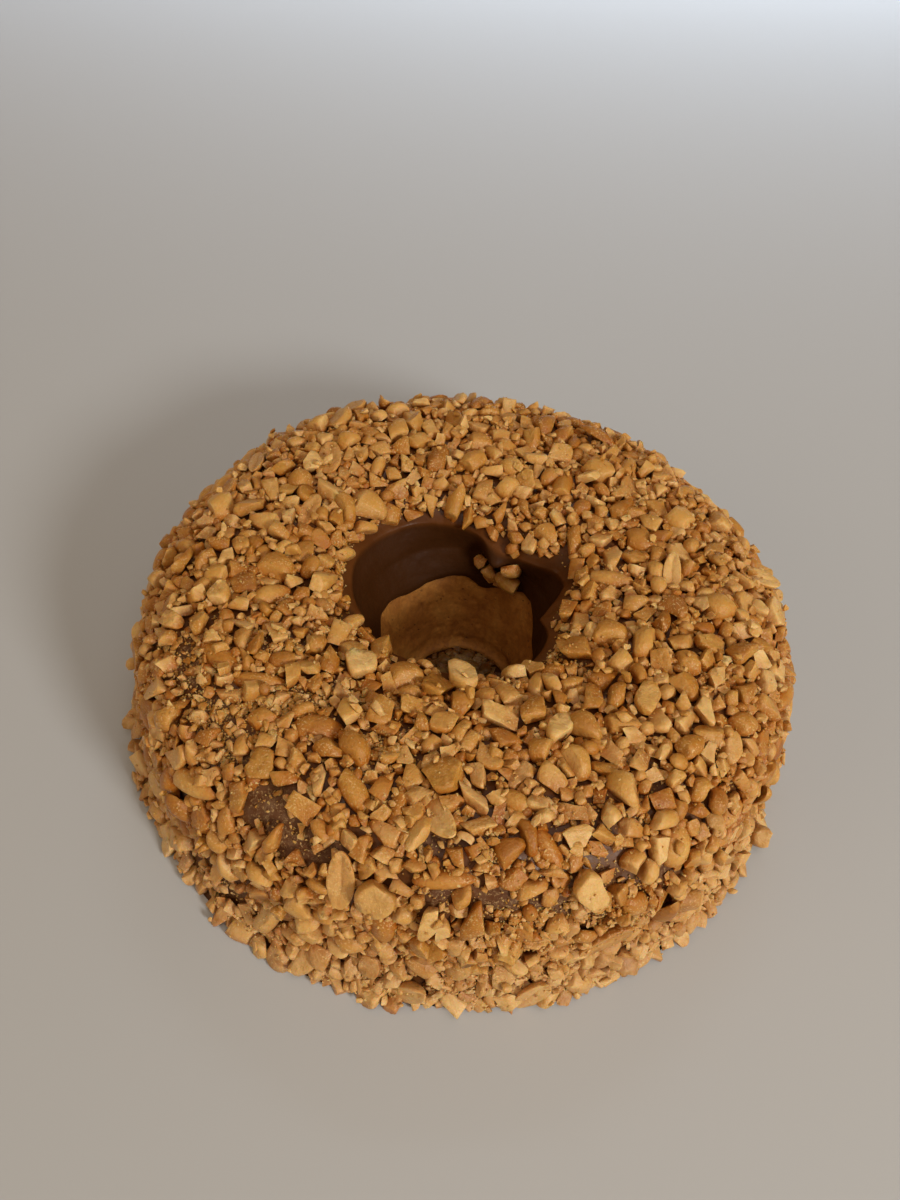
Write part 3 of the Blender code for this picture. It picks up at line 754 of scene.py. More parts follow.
# Nuts that stand out in the photograph, as (look, x, y, length, width, lean) in its pixels and degrees
HEROES = [
    ("D", 352, 648, 25, 23, 40), ("B", 380, 650, 36, 21, 35), ("F", 361, 667, 33, 23, -8), ("D", 405, 675, 37, 31, 5),
    ("B", 366, 685, 34, 14, -5), ("B", 372, 698, 26, 11, -20), ("B", 350, 712, 34, 26, 80), ("B", 381, 713, 31, 26, 40),
    ("B", 393, 700, 27, 9, -60), ("B", 413, 706, 30, 21, -20), ("B", 436, 687, 27, 24, 30), ("F", 461, 679, 30, 18, -45),
    ("B", 482, 673, 24, 14, -50), ("B", 497, 681, 20, 14, -40), ("D", 485, 692, 20, 16, -20), ("B", 508, 695, 26, 17, -50),
    ("B", 519, 686, 16, 12, -60), ("B", 535, 684, 26, 18, 88), ("D", 553, 670, 25, 15, 30), ("B", 569, 667, 18, 15, 70),
    ("D", 571, 684, 26, 13, 20), ("D", 605, 677, 34, 22, 10), ("B", 593, 698, 31, 23, 65), ("B", 562, 702, 26, 15, -60),
    ("B", 536, 711, 34, 24, 50), ("B", 501, 715, 43, 21, -20), ("D", 463, 703, 29, 23, 10), ("B", 437, 710, 25, 14, 25),
    ("F", 444, 723, 31, 19, 5), ("D", 461, 729, 28, 15, 60), ("B", 387, 728, 30, 17, 0), ("D", 355, 747, 38, 29, -60),
    ("D", 432, 744, 23, 15, 40), ("B", 470, 741, 30, 17, 48), ("B", 505, 739, 36, 13, -20, 0.1), ("F", 488, 757, 34, 19, -45),
    ("B", 511, 753, 19, 16, 20), ("B", 506, 771, 22, 12, -30), ("B", 541, 751, 24, 22, 0), ("F", 560, 730, 36, 24, 60),
    ("D", 586, 729, 38, 35, -50, 0.35), ("D", 578, 762, 38, 23, -58), ("B", 611, 750, 27, 22, -30), ("D", 614, 722, 22, 20, 0),
    ("F", 478, 774, 31, 19, -50, 0.9), ("B", 522, 775, 34, 18, 58), ("B", 549, 778, 34, 23, -55), ("B", 414, 777, 32, 24, 88),
    ("F", 445, 779, 40, 33, 15), ("D", 382, 787, 29, 27, 20), ("H", 401, 808, 60, 18, 74), ("B", 474, 797, 46, 13, -52),
    ("B", 570, 791, 19, 16, 0), ("D", 587, 789, 18, 14, 85), ("D", 623, 789, 41, 36, -70, 0.75), ("D", 515, 800, 27, 22, -30),
    ("B", 536, 800, 24, 20, -10), ("B", 554, 812, 24, 9, -68), ("B", 571, 811, 26, 21, 5), ("B", 590, 810, 19, 18, 0),
    ("G", 440, 820, 56, 28, -54, 0.9), ("B", 418, 832, 46, 20, 84), ("B", 384, 833, 36, 22, -20), ("B", 479, 825, 40, 25, -12),
    ("B", 516, 819, 24, 20, 0), ("D", 500, 830, 13, 12, 0), ("B", 509, 849, 36, 27, 50), ("B", 471, 850, 22, 18, 70, 0.15),
    ("D", 530, 836, 42, 15, -74), ("H", 552, 851, 50, 23, -60, 0.6), ("F", 580, 836, 33, 23, 15, 1.0), ("D", 580, 859, 32, 18, 68),
    ("B", 600, 849, 21, 16, -10), ("B", 382, 855, 27, 18, -15), ("B", 365, 869, 24, 16, 45), ("B", 415, 866, 26, 14, 4),
    ("D", 435, 866, 16, 14, 60), ("B", 455, 855, 29, 19, -42), ("H", 446, 883, 66, 20, 1, 0.8), ("D", 465, 899, 28, 18, 52),
    ("G", 343, 880, 57, 28, 88, 0.7), ("F", 379, 897, 42, 36, -15, 0.6), ("B", 402, 890, 26, 17, -20, 0.95), ("B", 431, 921, 40, 19, 62, 0.9),
    ("B", 474, 922, 38, 20, 58, 0.15), ("B", 482, 867, 22, 14, 5), ("B", 491, 885, 20, 12, -60), ("B", 512, 880, 34, 22, 0),
    ("D", 533, 891, 36, 13, 22), ("B", 553, 873, 26, 13, -10), ("D", 551, 901, 22, 17, 80, 1.0), ("F", 588, 891, 39, 30, -62, 0.75),
    ("D", 521, 866, 14, 11, 0), ("B", 531, 868, 14, 10, 60), ("D", 518, 923, 14, 11, 70), ("D", 405, 916, 26, 16, -20),
    # round the rim of the hole
    ("D", 346, 553, 22, 14, 0), ("D", 340, 587, 9, 8, 0), ("B", 348, 602, 13, 8, -45), ("B", 352, 622, 20, 15, 40),
    ("B", 340, 632, 26, 20, 70), ("D", 367, 527, 24, 13, 0), ("B", 393, 514, 24, 20, 70), ("B", 370, 503, 38, 28, -10),
    ("D", 346, 507, 34, 18, -65), ("D", 456, 503, 38, 16, 78), ("B", 467, 517, 30, 13, 65), ("B", 433, 503, 26, 16, -60),
    ("D", 500, 511, 24, 12, 55), ("D", 525, 510, 22, 14, -70), ("B", 492, 532, 20, 9, -62), ("B", 511, 524, 18, 8, -70),
    ("B", 512, 549, 17, 14, -40), ("B", 527, 527, 18, 9, 0), ("B", 547, 532, 28, 20, -30), ("D", 575, 538, 32, 18, 80),
    ("B", 576, 566, 26, 12, 80), ("B", 566, 608, 22, 15, 60), ("B", 580, 620, 28, 18, 35), ("B", 576, 650, 38, 22, 12),
    ("D", 610, 631, 38, 22, -3), ("D", 645, 641, 32, 26, 60), ("B", 602, 610, 26, 14, 30),
    # left
    ("H", 318, 725, 54, 27, -4, 0.4), ("D", 330, 750, 32, 22, -30), ("B", 305, 808, 34, 28, -55), ("D", 284, 779, 32, 17, -20),
    ("B", 265, 742, 28, 20, 30), ("D", 240, 744, 22, 18, 80), ("B", 207, 737, 26, 18, 25), ("B", 236, 797, 30, 26, 60),
    ("D", 272, 840, 30, 16, 55), ("H", 272, 592, 42, 18, 22), ("D", 278, 565, 36, 27, -20), ("D", 305, 552, 28, 24, 30),
    ("B", 246, 584, 30, 18, 10), ("B", 320, 582, 30, 22, 40), ("D", 216, 574, 26, 18, 5), ("B", 197, 622, 30, 24, 60),
    ("D", 283, 661, 26, 24, 0), ("B", 228, 692, 26, 18, -30), ("B", 196, 718, 20, 16, 0), ("D", 168, 716, 26, 22, 40),
    ("B", 156, 690, 30, 20, 75), ("B", 318, 780, 36, 20, 70), ("D", 336, 828, 24, 16, 60), ("B", 290, 862, 20, 16, 0),
    ("B", 250, 842, 26, 22, 20), ("D", 224, 822, 26, 18, 70), ("B", 300, 905, 36, 22, -30), ("B", 268, 915, 26, 22, 60),
    # right
    ("H", 680, 848, 46, 27, 78, 0.9), ("H", 720, 846, 46, 26, 80, 0.8), ("D", 654, 915, 34, 26, 30, 0.9), ("B", 686, 684, 36, 24, -35),
    ("D", 690, 662, 32, 20, -20), ("B", 676, 604, 32, 20, -30), ("D", 635, 604, 30, 18, 10), ("B", 634, 829, 28, 24, 0, 0.9),
    ("B", 641, 760, 26, 22, 40), ("D", 618, 694, 30, 20, 60), ("B", 660, 720, 26, 22, -10), ("B", 622, 722, 34, 20, 10),
    ("D", 690, 746, 28, 24, 30), ("D", 720, 606, 34, 24, 5), ("B", 735, 640, 28, 20, -20), ("D", 650, 873, 24, 18, 60),
    ("B", 745, 690, 26, 20, 70), ("D", 700, 790, 26, 20, 50), ("B", 665, 800, 26, 22, 20), ("B", 700, 885, 30, 22, 60),
    # back
    ("D", 437, 458, 38, 20, 68), ("B", 480, 440, 26, 18, 10), ("D", 512, 466, 28, 16, 0), ("D", 508, 487, 26, 20, 20),
    ("B", 250, 505, 42, 18, 25), ("D", 220, 505, 28, 18, 30), ("B", 330, 490, 30, 24, -60), ("D", 300, 480, 26, 20, 10),
    ("D", 600, 470, 30, 20, -30), ("B", 560, 455, 26, 18, 20), ("D", 640, 540, 34, 20, -15), ("B", 680, 520, 28, 22, -40),
    ("B", 612, 556, 28, 20, 60), ("D", 545, 425, 22, 14, 30), ("B", 400, 430, 26, 18, 60), ("D", 350, 440, 24, 16, 0),
]


def build_nuts():
    for nut in HEROES:
        hero(*nut)
    keep = (1 - STOP) * np.clip(1 - 1.55 * np.where(INNER > 0.3, BARE, CLEAR), 0, 1) ** 2
    t = math.radians
    got = {}
    got["halves"] = scatter("halves", 60, 3000, 0.84, keep * (0.5 + 0.5 * (S > 30)), t(12), (0.10, 0.28), (0.85, 1.0))
    got["large"] = scatter("large", 270, 9000, 0.78, keep, t(22), (0.10, 0.32), (0.82, 1.05))
    got["medium"] = scatter("medium", 1150, 40000, 0.74, keep, t(28), (0.05, 0.3), (0.82, 1.12))
    got["small"] = scatter("small", 1900, 60000, 0.69, keep + 0.012 * (1 - STOP), t(34), (0.0, 0.25), (0.85, 1.2))
    return got


print("NUTS", build_nuts(), flush=True)


def gather(kind, items):
    """All pieces of one kind as arrays: points, triangles, tones."""
    shapes = KINDS[kind]
    vs, fs, ts, base = [], [], [], 0
    by = {}
    for item in items:
        by.setdefault(item[0], []).append(item)
    for index in sorted(by):
        sh, group = shapes[index], by[index]
        M = np.stack([g[1] for g in group])
        P = np.stack([g[2] for g in group])
        T = np.stack([g[3] for g in group])
        G = np.stack([g[4] for g in group])
        v = np.einsum("gij,vj->gvi", M, sh.v) + P[:, None]
        tone = np.empty((len(group), len(sh.v), 4))
        tone[..., 0] = T[:, None, 0]
        tone[..., 1] = sh.pale[None]
        # the lower part of each nut, near the coat, gets painted shade: darker and more orange, as in the crevices
        # between nuts
        tone[..., 2] = smooth(4.0, 0.2, np.einsum("gvi,gi->gv", v, G[:, :3]) - G[:, 3:])
        if kind in ("chips", "crumbs"):  # loose bits get less of the painted crevice shade than the nuts pressed into the spread
            tone[..., 2] *= 0.5 if kind == "chips" else 0.3
        tone[..., 3] = T[:, None, 1]
        f = sh.f[None] + (base + np.arange(len(group)) * len(sh.v))[:, None, None]
        base += len(group) * len(sh.v)
        vs.append(v.reshape(-1, 3)), fs.append(f.reshape(-1, 3)), ts.append(tone.reshape(-1, 4))
    return np.vstack(vs), np.vstack(fs), np.vstack(ts)


def tree_of(parts):
    v, f, base = [], [], 0
    for pts, faces in parts:
        v.append(pts)
        f.append(faces + base)
        base += len(pts)
    v, f = np.vstack(v), np.vstack(f)
    return BVHTree.FromPolygons(v.tolist(), f.tolist(), all_triangles=f.shape[1] == 3)


def choc_triangles():
    rows = choc_grid.shape[1]
    q = ring_faces(COLUMNS, rows)
    return choc_grid.reshape(-1, 3), np.vstack([q[:, [0, 1, 2]], q[:, [0, 2, 3]]])


def drop(kind, count, weight, tree, high=None, size=(0.8, 1.2), tilt=0.5, embed=(0.05, 0.2), reject=0.0):
    """Small pieces let fall on whatever lies on the cake: they rest on the first thing they meet."""
    shapes = KINDS[kind]
    ii, jj = draw(int(count * 4), weight)
    done = 0
    for i, j in zip(ii, jj):
        if done >= count:
            break
        n = NORM[i, j]
        p = CORE[i, j] + np.cross(n, rng.normal(size=3)) * 0.4
        hit, hn, _, dist = tree.ray_cast(Vector(p + n * 14), Vector(-n), 20)
        if hit is None:
            continue
        above = 14 - dist
        if high is not None and above > high and rng.random() > reject:
            continue
        hn = np.array(hn)
        if hn @ n < 0:
            hn = -hn
        if hn @ n < 0.25:
            continue
        index = int(rng.integers(len(shapes)))
        m = turned(unit(hn + 0.4 * n), rng.uniform(0, 6.283), abs(rng.normal(0, tilt)), rng.uniform(0, 6.283), rng.random() < 0.5)
        settle(kind, index, m, rng.uniform(*size), np.array(hit), hn, rng.uniform(*embed), ground=CORE[i, j])
        done += 1
    return done


def build_small():
    parts = [choc_triangles()]
    for kind in ("halves", "large", "medium", "small"):
        v, f, _ = gather(kind, placed[kind])
        parts.append((v, f))
    tree = tree_of(parts)
    got = {}
    keep = (1 - STOP) * np.clip(1 - 1.1 * BARE, 0, 1)
    got["small"] = drop("small", 520, keep, tree, high=1.9, reject=0.06)
    got["chips"] = drop("chips", 3400, keep + (0.12 * BARE + 1.8 * CRUMBS_AT) * (1 - STOP), tree, high=1.6, reject=0.04, size=(0.8, 1.5))
    got["crumbs"] = drop("crumbs", 9800, keep + (0.8 * BARE + 8.0 * CRUMBS_AT) * (1 - STOP), tree, high=1.8, reject=0.06, size=(0.5, 1.4))
    return got


print("SMALL", build_small(), flush=True)


# ------------------------------------------------------------------ nuts inside the hole
def hole_nuts():
    tree = tree_of([choc_triangles()])
    # stuck on the lobe: pixel, kind, shape, lean, size
    for x, y, kind, index, lean, size in ((485, 560, "small", 3, -60, 1.15), (495, 571, "medium", 8, -35, 0.85),
                                          (513, 566, "medium", 6, 5, 1.0), (511, 579, "medium", 12, -5, 1.05),
                                          (490, 577, "small", 2, 30, 1.0), (502, 583, "small", 8, 0, 1.0),
                                          (513, 549, "small", 4, 60, 1.1)):
        d = pixel_ray(x, y)
        hit, hn, _, dist = tree.ray_cast(Vector(CAM_AT), Vector(d), 600)
        if hit is None:
            continue
        hn = np.array(hn)
        if hn @ d > 0:
            hn = -hn
        m = turned(hn, math.radians(lean), rng.uniform(0, 0.35), rng.uniform(0, 6), False)
        # the ground is raised so that more of each nut takes the painted crevice shade
        settle(kind, index, m, size * 1.3, np.array(hit), hn, 0.05, tone=np.array([0.62, 0.2, 0.5, 0.5]),
               ground=np.array(hit) + hn * 1.4)
    # chopped nuts lie at the hole's foot
    for k in range(190):
        a, r = k * 2.39996, (14.9 if k < 130 else 8.5) * math.sqrt((k % 130 + 0.5) / 130)
        size = rng.uniform(0.8, 1.0)
        index = int(rng.integers(len(MEDIUM) if r < 12.5 and k % 2 else len(SMALL))) + (0 if r < 12.5 and k % 2 else len(MEDIUM))
        m = turned(np.array([0, 0, 1.0]), rng.uniform(0, 6.28), abs(rng.normal(0, 0.25)), rng.uniform(0, 6.28), rng.random() < 0.5)
        up = (0.1, 1.3)[k // 130] + rng.uniform(0, 0.4)
        settle("foot", index, m, size, np.array([r * math.cos(a) * 0.93, r * math.sin(a) * 0.93, up]), np.array([0, 0, 1.0]), 0.0)


hole_nuts()

# ------------------------------------------------------------------ materials


def nodes_of(name):
    mat = bpy.data.materials.new(name)
    mat.use_nodes = True
    nt = mat.node_tree
    return mat, nt, nt.nodes["Principled BSDF"]


def add(nt, kind, **settings):
    node = nt.nodes.new(kind)
    for key, value in settings.items():
        if key.startswith("in_"):
            name = key[3:]
            node.inputs[int(name) if name.isdigit() else name.replace("_", " ")].default_value = value
        else:
            setattr(node, key, value)
    return node


def noise(nt, coord, scale, detail=3.0, rough=0.55, distort=0.0):
    n = add(nt, "ShaderNodeTexNoise")
    n.inputs["Scale"].default_value = scale
    n.inputs["Detail"].default_value = detail
    n.inputs["Roughness"].default_value = rough
    n.inputs["Distortion"].default_value = distort
    nt.links.new(coord, n.inputs["Vector"])
    return n.outputs["Fac"]


def ramp(nt, fac, stops):
    r = add(nt, "ShaderNodeValToRGB")
    e = r.color_ramp.elements
    while len(e) > 1:
        e.remove(e[-1])
    e[0].position, e[0].color = stops[0][0], (*stops[0][1], 1)
    for pos, col in stops[1:]:
        x = e.new(pos)
        x.color = (*col, 1)
    nt.links.new(fac, r.inputs["Fac"])
    return r.outputs["Color"]


def span(nt, value, a, b, c=0.0, d=1.0):
    m = add(nt, "ShaderNodeMapRange")
    m.inputs["From Min"].default_value, m.inputs["From Max"].default_value = a, b
    m.inputs["To Min"].default_value, m.inputs["To Max"].default_value = c, d
    nt.links.new(value, m.inputs["Value"])
    return m.outputs["Result"]


def maths(nt, op, a, b):
    m = add(nt, "ShaderNodeMath", operation=op)
    for i, x in enumerate((a, b)):
        if isinstance(x, (int, float)):
            m.inputs[i].default_value = x
        else:
            nt.links.new(x, m.inputs[i])
    return m.outputs[0]


def blend(nt, fac, a, b, mode="MIX"):
    m = add(nt, "ShaderNodeMix", data_type="RGBA", blend_type=mode)
    sockets = [s for s in m.inputs if s.enabled]
    names = {"Factor": fac, "A": a, "B": b}
    for s in sockets:
        x = names.get(s.name)
        if x is None:
            continue
        if isinstance(x, (int, float)):
            s.default_value = x
        elif isinstance(x, tuple):
            s.default_value = (*x, 1)
        else:
            nt.links.new(x, s)
    return next(o for o in m.outputs if o.enabled)


def bump(nt, heights, shader):
    """Chains bumps: [(height, strength, distance in metres)]."""
    last = None
    for h, strength, distance in heights:
        b = add(nt, "ShaderNodeBump")
        b.inputs["Strength"].default_value = strength
        b.inputs["Distance"].default_value = distance
        nt.links.new(h, b.inputs["Height"])
        if last is not None:
            nt.links.new(last, b.inputs["Normal"])
        last = b.outputs["Normal"]
    nt.links.new(last, shader.inputs["Normal"])


def nut_material(name, smear=0.0):
    mat, nt, sh = nodes_of(name)
    co = add(nt, "ShaderNodeTexCoord").outputs["Object"]
    tone = add(nt, "ShaderNodeAttribute", attribute_name="tone")
    sep = add(nt, "ShaderNodeSeparateColor")
    nt.links.new(tone.outputs["Color"], sep.inputs[0])
    rand, broken_face_and_edge_highlight, edge = sep.outputs[0], sep.outputs[1], sep.outputs[2]  # edge: how low on the cake's coat, which sets the painted shade in the crevices between nuts
    other = tone.outputs["Alpha"]
    mottle = noise(nt, co, 330, 4, 0.6, 0.4)
    grain = noise(nt, co, 1500, 3, 0.7)
    fac = maths(nt, "ADD", rand, maths(nt, "MULTIPLY", maths(nt, "SUBTRACT", mottle, 0.5), 0.55))
    skin = ramp(nt, fac, [(0.0, (0.300, 0.104, 0.010)), (0.22, (0.430, 0.178, 0.022)), (0.6, (0.530, 0.255, 0.042)),
                          (1.0, (0.610, 0.330, 0.072))])
    cream = ramp(nt, fac, [(0.0, (0.490, 0.238, 0.040)), (0.4, (0.635, 0.370, 0.104)), (1.0, (0.790, 0.545, 0.235))])
    # broken faces turn cream, and so do convex edges as a painted highlight
    pale = blend(nt, broken_face_and_edge_highlight, skin, cream)
    # painted shade: the lower part of each nut turns dark orange, as in the crevices between nuts
    low = maths(nt, "MULTIPLY", edge, span(nt, mottle, 0.25, 0.6, 1.0, 0.65))
    with_painted_shade = blend(nt, low, pale, (0.370, 0.094, 0.004))
    # a few kernels are roasted darker in places
    dark = maths(nt, "MULTIPLY", span(nt, other, 0.80, 0.97), span(nt, noise(nt, co, 210, 2, 0.5), 0.36, 0.72))
    roasted = blend(nt, maths(nt, "MULTIPLY", dark, 0.5), with_painted_shade, (0.260, 0.085, 0.016))
    speck = span(nt, grain, 0.52, 0.78, 1.0, 0.82)
    col = blend(nt, 1.0, roasted, speck, "MULTIPLY")
    powder = maths(nt, "MULTIPLY", span(nt, noise(nt, co, 1900, 2, 0.5), 0.57, 0.66), span(nt, noise(nt, co, 160, 2, 0.5), 0.40, 0.62, 0.0, 0.75))
    col = blend(nt, powder, col, (0.72, 0.50, 0.24))
    if not smear:  # near the table the nuts are paler: painted light
        place = add(nt, "ShaderNodeSeparateXYZ")
        nt.links.new(co, place.inputs[0])
        painted_light_near_table = maths(nt, "MULTIPLY", span(nt, place.outputs[2], 0.030, 0.006), span(nt, mottle, 0.3, 0.65, 0.10, 0.42))
        col = blend(nt, painted_light_near_table, col, (0.700, 0.480, 0.250))
    # at the foot of the hole the nuts are darkened towards chocolate brown: painted shade
    if smear:
        col = blend(nt, span(nt, noise(nt, co, 240, 3, 0.6), 0.3, 0.6, smear, smear * 0.7), col, (0.046, 0.016, 0.005))
    nt.links.new(col, sh.inputs["Base Color"])
    nt.links.new(span(nt, mottle, 0.3, 0.7, 0.29, 0.46), sh.inputs["Roughness"])
    sh.inputs["IOR"].default_value = 1.46
    sh.inputs["Specular IOR Level"].default_value = 0.38
    sh.inputs["Subsurface Weight"].default_value = 0.35
    sh.inputs["Subsurface Radius"].default_value = (1.0, 0.36, 0.10)
    sh.inputs["Subsurface Scale"].default_value = 0.0013
    bump(nt, [(noise(nt, co, 560, 3, 0.6), 0.7, 0.0006), (grain, 0.6, 0.00035)], sh)
    return mat


def choc_material():
    mat, nt, sh = nodes_of("milk_chocolate_spread")
    co = add(nt, "ShaderNodeTexCoord").outputs["Object"]
    tone = add(nt, "ShaderNodeAttribute", attribute_name="tone")
    sep = add(nt, "ShaderNodeSeparateColor")
    nt.links.new(tone.outputs["Color"], sep.inputs[0])
    dust, deep_painted_shade, dull = sep.outputs[0], sep.outputs[1], sep.outputs[2]
    slow = noise(nt, co, 90, 3, 0.5, 0.5)
    base = ramp(nt, slow, [(0.3, (0.080, 0.024, 0.0045)), (0.7, (0.118, 0.039, 0.0085))])
    # painted shade: the spread darkens over the rim and down the hole's wall
    base = blend(nt, maths(nt, "MULTIPLY", deep_painted_shade, 0.9), base, (0.036, 0.0115, 0.0028))
    powder = maths(nt, "MULTIPLY", dust, span(nt, noise(nt, co, 1400, 4, 0.75), 0.53, 0.64, 0.0, 0.8))
    haze = maths(nt, "MULTIPLY", dust, span(nt, noise(nt, co, 420, 3, 0.6), 0.40, 0.75, 0.0, 0.42))
    col = blend(nt, haze, base, (0.260, 0.160, 0.092))
    col = blend(nt, powder, col, (0.50, 0.32, 0.14))
    nt.links.new(col, sh.inputs["Base Color"])
    rough = maths(nt, "ADD", span(nt, slow, 0.3, 0.7, 0.30, 0.42), maths(nt, "MULTIPLY", dust, 0.28))
    nt.links.new(maths(nt, "ADD", rough, maths(nt, "MULTIPLY", deep_painted_shade, 0.14)), sh.inputs["Roughness"])
    sh.inputs["IOR"].default_value = 1.47
    nt.links.new(span(nt, dull, 0.0, 1.0, 0.36, 0.12), sh.inputs["Specular IOR Level"])
    sh.inputs["Subsurface Weight"].default_value = 0.06
    sh.inputs["Subsurface Radius"].default_value = (1.0, 0.4, 0.2)
    sh.inputs["Subsurface Scale"].default_value = 0.001
    bump(nt, [(noise(nt, co, 260, 3, 0.5), 0.35, 0.0010), (noise(nt, co, 1500, 3, 0.6), 0.25, 0.0002), (powder, 0.5, 0.00025)], sh)
    return mat


def crust_material():
    mat, nt, sh = nodes_of("baked_crust")
    tc = add(nt, "ShaderNodeTexCoord").outputs["Object"]
    stretch = add(nt, "ShaderNodeMapping")
    stretch.inputs["Scale"].default_value = (1.0, 1.0, 0.45)
    nt.links.new(tc, stretch.inputs["Vector"])
    co = stretch.outputs["Vector"]
    slow = noise(nt, co, 120, 4, 0.6, 0.6)
    base = ramp(nt, slow, [(0.28, (0.290, 0.098, 0.015)), (0.5, (0.440, 0.172, 0.029)), (0.72, (0.580, 0.270, 0.056))])
    fine = noise(nt, tc, 900, 4, 0.65)
    col = blend(nt, 1.0, base, span(nt, fine, 0.35, 0.7, 0.80, 1.12), "MULTIPLY")
    pores = add(nt, "ShaderNodeTexVoronoi")
    pores.inputs["Scale"].default_value = 620
    nt.links.new(tc, pores.inputs["Vector"])
    hole = span(nt, pores.outputs["Distance"], 0.10, 0.26, 1.0, 0.0)
    hole = maths(nt, "MULTIPLY", hole, span(nt, noise(nt, tc, 260, 2, 0.5), 0.5, 0.62))
    # the pores are darker: painted shade in the pits
    col = blend(nt, maths(nt, "MULTIPLY", hole, 0.6), col, (0.115, 0.040, 0.010))
    nt.links.new(col, sh.inputs["Base Color"])
    nt.links.new(span(nt, fine, 0.3, 0.7, 0.62, 0.82), sh.inputs["Roughness"])
    sh.inputs["IOR"].default_value = 1.42
    bump(nt, [(slow, 0.4, 0.0012), (fine, 0.5, 0.0003), (hole, 0.6, -0.0004)], sh)
    return mat


NUT_MAT = nut_material("roasted_peanut")
FOOT_SHADE_MAT = nut_material("chocolate_smeared_peanut", smear=0.86)

# the chocolate's dust: where the patches are, and a little everywhere on the outside
choc_tone = np.zeros((COLUMNS, choc_grid.shape[1], 4))
ja = np.round(np.arange(COLUMNS) / COLUMNS * GA).astype(int) % GA
js = np.clip(np.round(OUT_S / COAT.length * (GS - 1)), 0, GS - 1).astype(int)
choc_tone[:, :ROWS_OUT, 0] = np.clip(0.06 + 0.94 * BARE[np.ix_(ja, js)], 0, 1) * (1 - smooth(0.55, 0.80, INNER[np.ix_(ja, js)]))
# channel 1 is painted shade from the rim's crease down into the hole; channel 2 makes it less shiny there
choc_tone[:, :ROWS_OUT, 1] = smooth(COAT.crease - 0.6, COAT.crease + 1.8, OUT_S)[None]
choc_tone[:, :ROWS_OUT, 2] = smooth(COAT.crease - 6.0, COAT.crease - 1.0, OUT_S)[None]
# the wall and the hidden face take the full painted shade
choc_tone[:, ROWS_OUT:, 1:3] = 1.0
choc_tone[..., 3] = 1.0
add_tone(choc_ob, choc_tone.reshape(-1, 4))
choc_ob.data.materials.append(choc_material())
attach(choc_ob, "root")
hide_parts("nut_coat", "hole_chocolate")

sponge_ob.data.materials.append(crust_material())
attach(sponge_ob, "root")
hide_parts("sponge_ring")

# a thin dark film at the foot of the hole, under the nuts that lie there: painted shade, in the spread's darkest tone
turns = np.linspace(0, 2 * math.pi, 97)[:-1]
film = []
for share, z in ((0.0, 0.5), (0.35, 0.55), (0.7, 0.45), (0.9, 0.4), (1.0, 0.2), (1.0, 0.02), (0.6, 0.02), (0.0, 0.02)):
    reach = share * (HOLE_FOOT_R + 0.5 + 0.25 * np.sin(5 * turns) + 0.15 * np.sin(11 * turns + 1))
    film.append(np.stack([reach * np.cos(turns), reach * np.sin(turns), np.full(96, z)], 1))
film = np.stack(film, 1)
film_v = np.vstack([film[:, 1:-1].reshape(-1, 3), film[0, :1], film[0, -1:]])
film_f = [(i * 6 + j, ((i + 1) % 96) * 6 + j, ((i + 1) % 96) * 6 + j + 1, i * 6 + j + 1) for i in range(96) for j in range(5)]
film_f = [t for q in film_f for t in ((q[0], q[3], q[1]), (q[1], q[3], q[2]))]
film_f += [(576, i * 6, ((i + 1) % 96) * 6) for i in range(96)]
film_f += [(577, ((i + 1) % 96) * 6 + 5, i * 6 + 5) for i in range(96)]
film_ob = mesh_object("painted_shade_film", film_v, film_f)
add_tone(film_ob, np.tile([0.0, 1.0, 1.0, 1.0], (len(film_v), 1)))
film_ob.data.materials.append(choc_ob.data.materials[0])
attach(film_ob, "root")
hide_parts("hole_chocolate")

NAMES = {"halves": "peanut_halves", "large": "peanut_pieces_large", "medium": "peanut_pieces_medium",
         "small": "peanut_pieces_small", "chips": "peanut_chips", "crumbs": "peanut_crumbs",
         "foot": "peanut_pieces_in_hole"}
total = len(choc_ob.data.polygons) * 2 + len(sponge_ob.data.polygons) * 2
for kind, name in NAMES.items():
    v, f, tone = gather(kind, placed[kind])
    ob = mesh_object(name, v, f)
    ob.data.set_sharp_from_angle(angle=math.radians(76))
    add_tone(ob, tone)
    ob.data.materials.append(FOOT_SHADE_MAT if kind == "foot" else NUT_MAT)
    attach(ob, "root")
    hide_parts("nut_coat")
    total += len(f)
    print("PIECE", name, len(placed[kind]), "nuts", len(f), "triangles", flush=True)
print("TRIANGLES", total, flush=True)

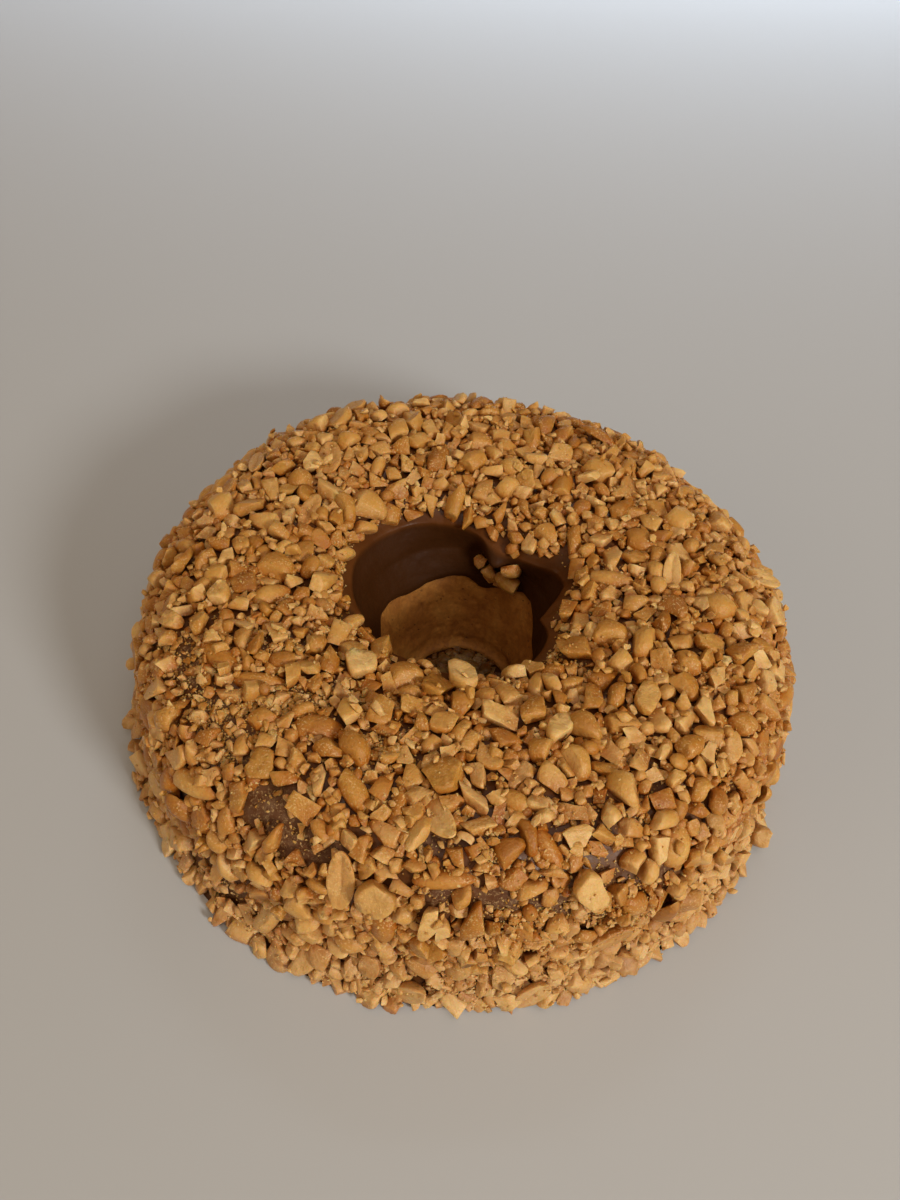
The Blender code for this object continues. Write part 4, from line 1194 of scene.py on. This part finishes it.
# ------------------------------------------------------------------ floor, light, camera
bpy.ops.mesh.primitive_plane_add(size=24, location=(0, 0, 0))
floor = bpy.context.object
floor.name = "floor"
fmat, fnt, fsh = nodes_of("pale_floor")
fsh.inputs["Base Color"].default_value = (0.450, 0.470, 0.500, 1)
fsh.inputs["Roughness"].default_value = 0.7
floor.data.materials.append(fmat)


def lamp(name, at, towards, size, watts, colour):
    data = bpy.data.lights.new(name, "AREA")
    data.shape = "DISK"
    data.size = size
    data.energy = watts
    data.color = colour
    ob = bpy.data.objects.new(name, data)
    bpy.context.scene.collection.objects.link(ob)
    ob.location = at
    ob.rotation_euler = (Vector(towards) - Vector(at)).to_track_quat("-Z", "Y").to_euler()
    return ob


lamp("key", (0.81, -0.81, 0.66), (0, 0, 0.03), 0.28, 11.5, (1.0, 0.96, 0.88))
lamp("top", (0.20, -0.30, 1.20), (0, 0, 0.03), 0.8, 2.5, (1.0, 0.95, 0.87))
lamp("fill", (-0.70, -0.45, 0.45), (0, 0, 0.03), 0.6, 1.0, (1.0, 0.82, 0.58))
far = lamp("background", (0.0, 1.9, 1.6), (0, 2.0, 0), 1.6, 62.0, (0.80, 0.90, 1.0))
far.data.spread = math.radians(95)

world = bpy.data.worlds.new("studio")
world.use_nodes = True
world.node_tree.nodes["Background"].inputs["Color"].default_value = (1.0, 0.69, 0.39, 1)
world.node_tree.nodes["Background"].inputs["Strength"].default_value = 0.30
bpy.context.scene.world = world
bpy.context.scene.view_settings.view_transform = "Standard"

cam_data = bpy.data.cameras.new("camera")
cam_data.sensor_width = 36.0
cam_data.sensor_fit = "AUTO"
cam_data.lens = CAM_F / 1200 * 36.0
cam_data.clip_start = 0.01
cam = bpy.data.objects.new("camera", cam_data)
bpy.context.scene.collection.objects.link(cam)
m = Matrix.Identity(4)
for i, axis in enumerate((CAM_ROWS[0], -CAM_ROWS[1], -CAM_ROWS[2])):
    for j in range(3):
        m[j][i] = axis[j]
for j in range(3):
    m[j][3] = CAM_AT[j] * MM
cam.matrix_world = m
bpy.context.scene.camera = cam
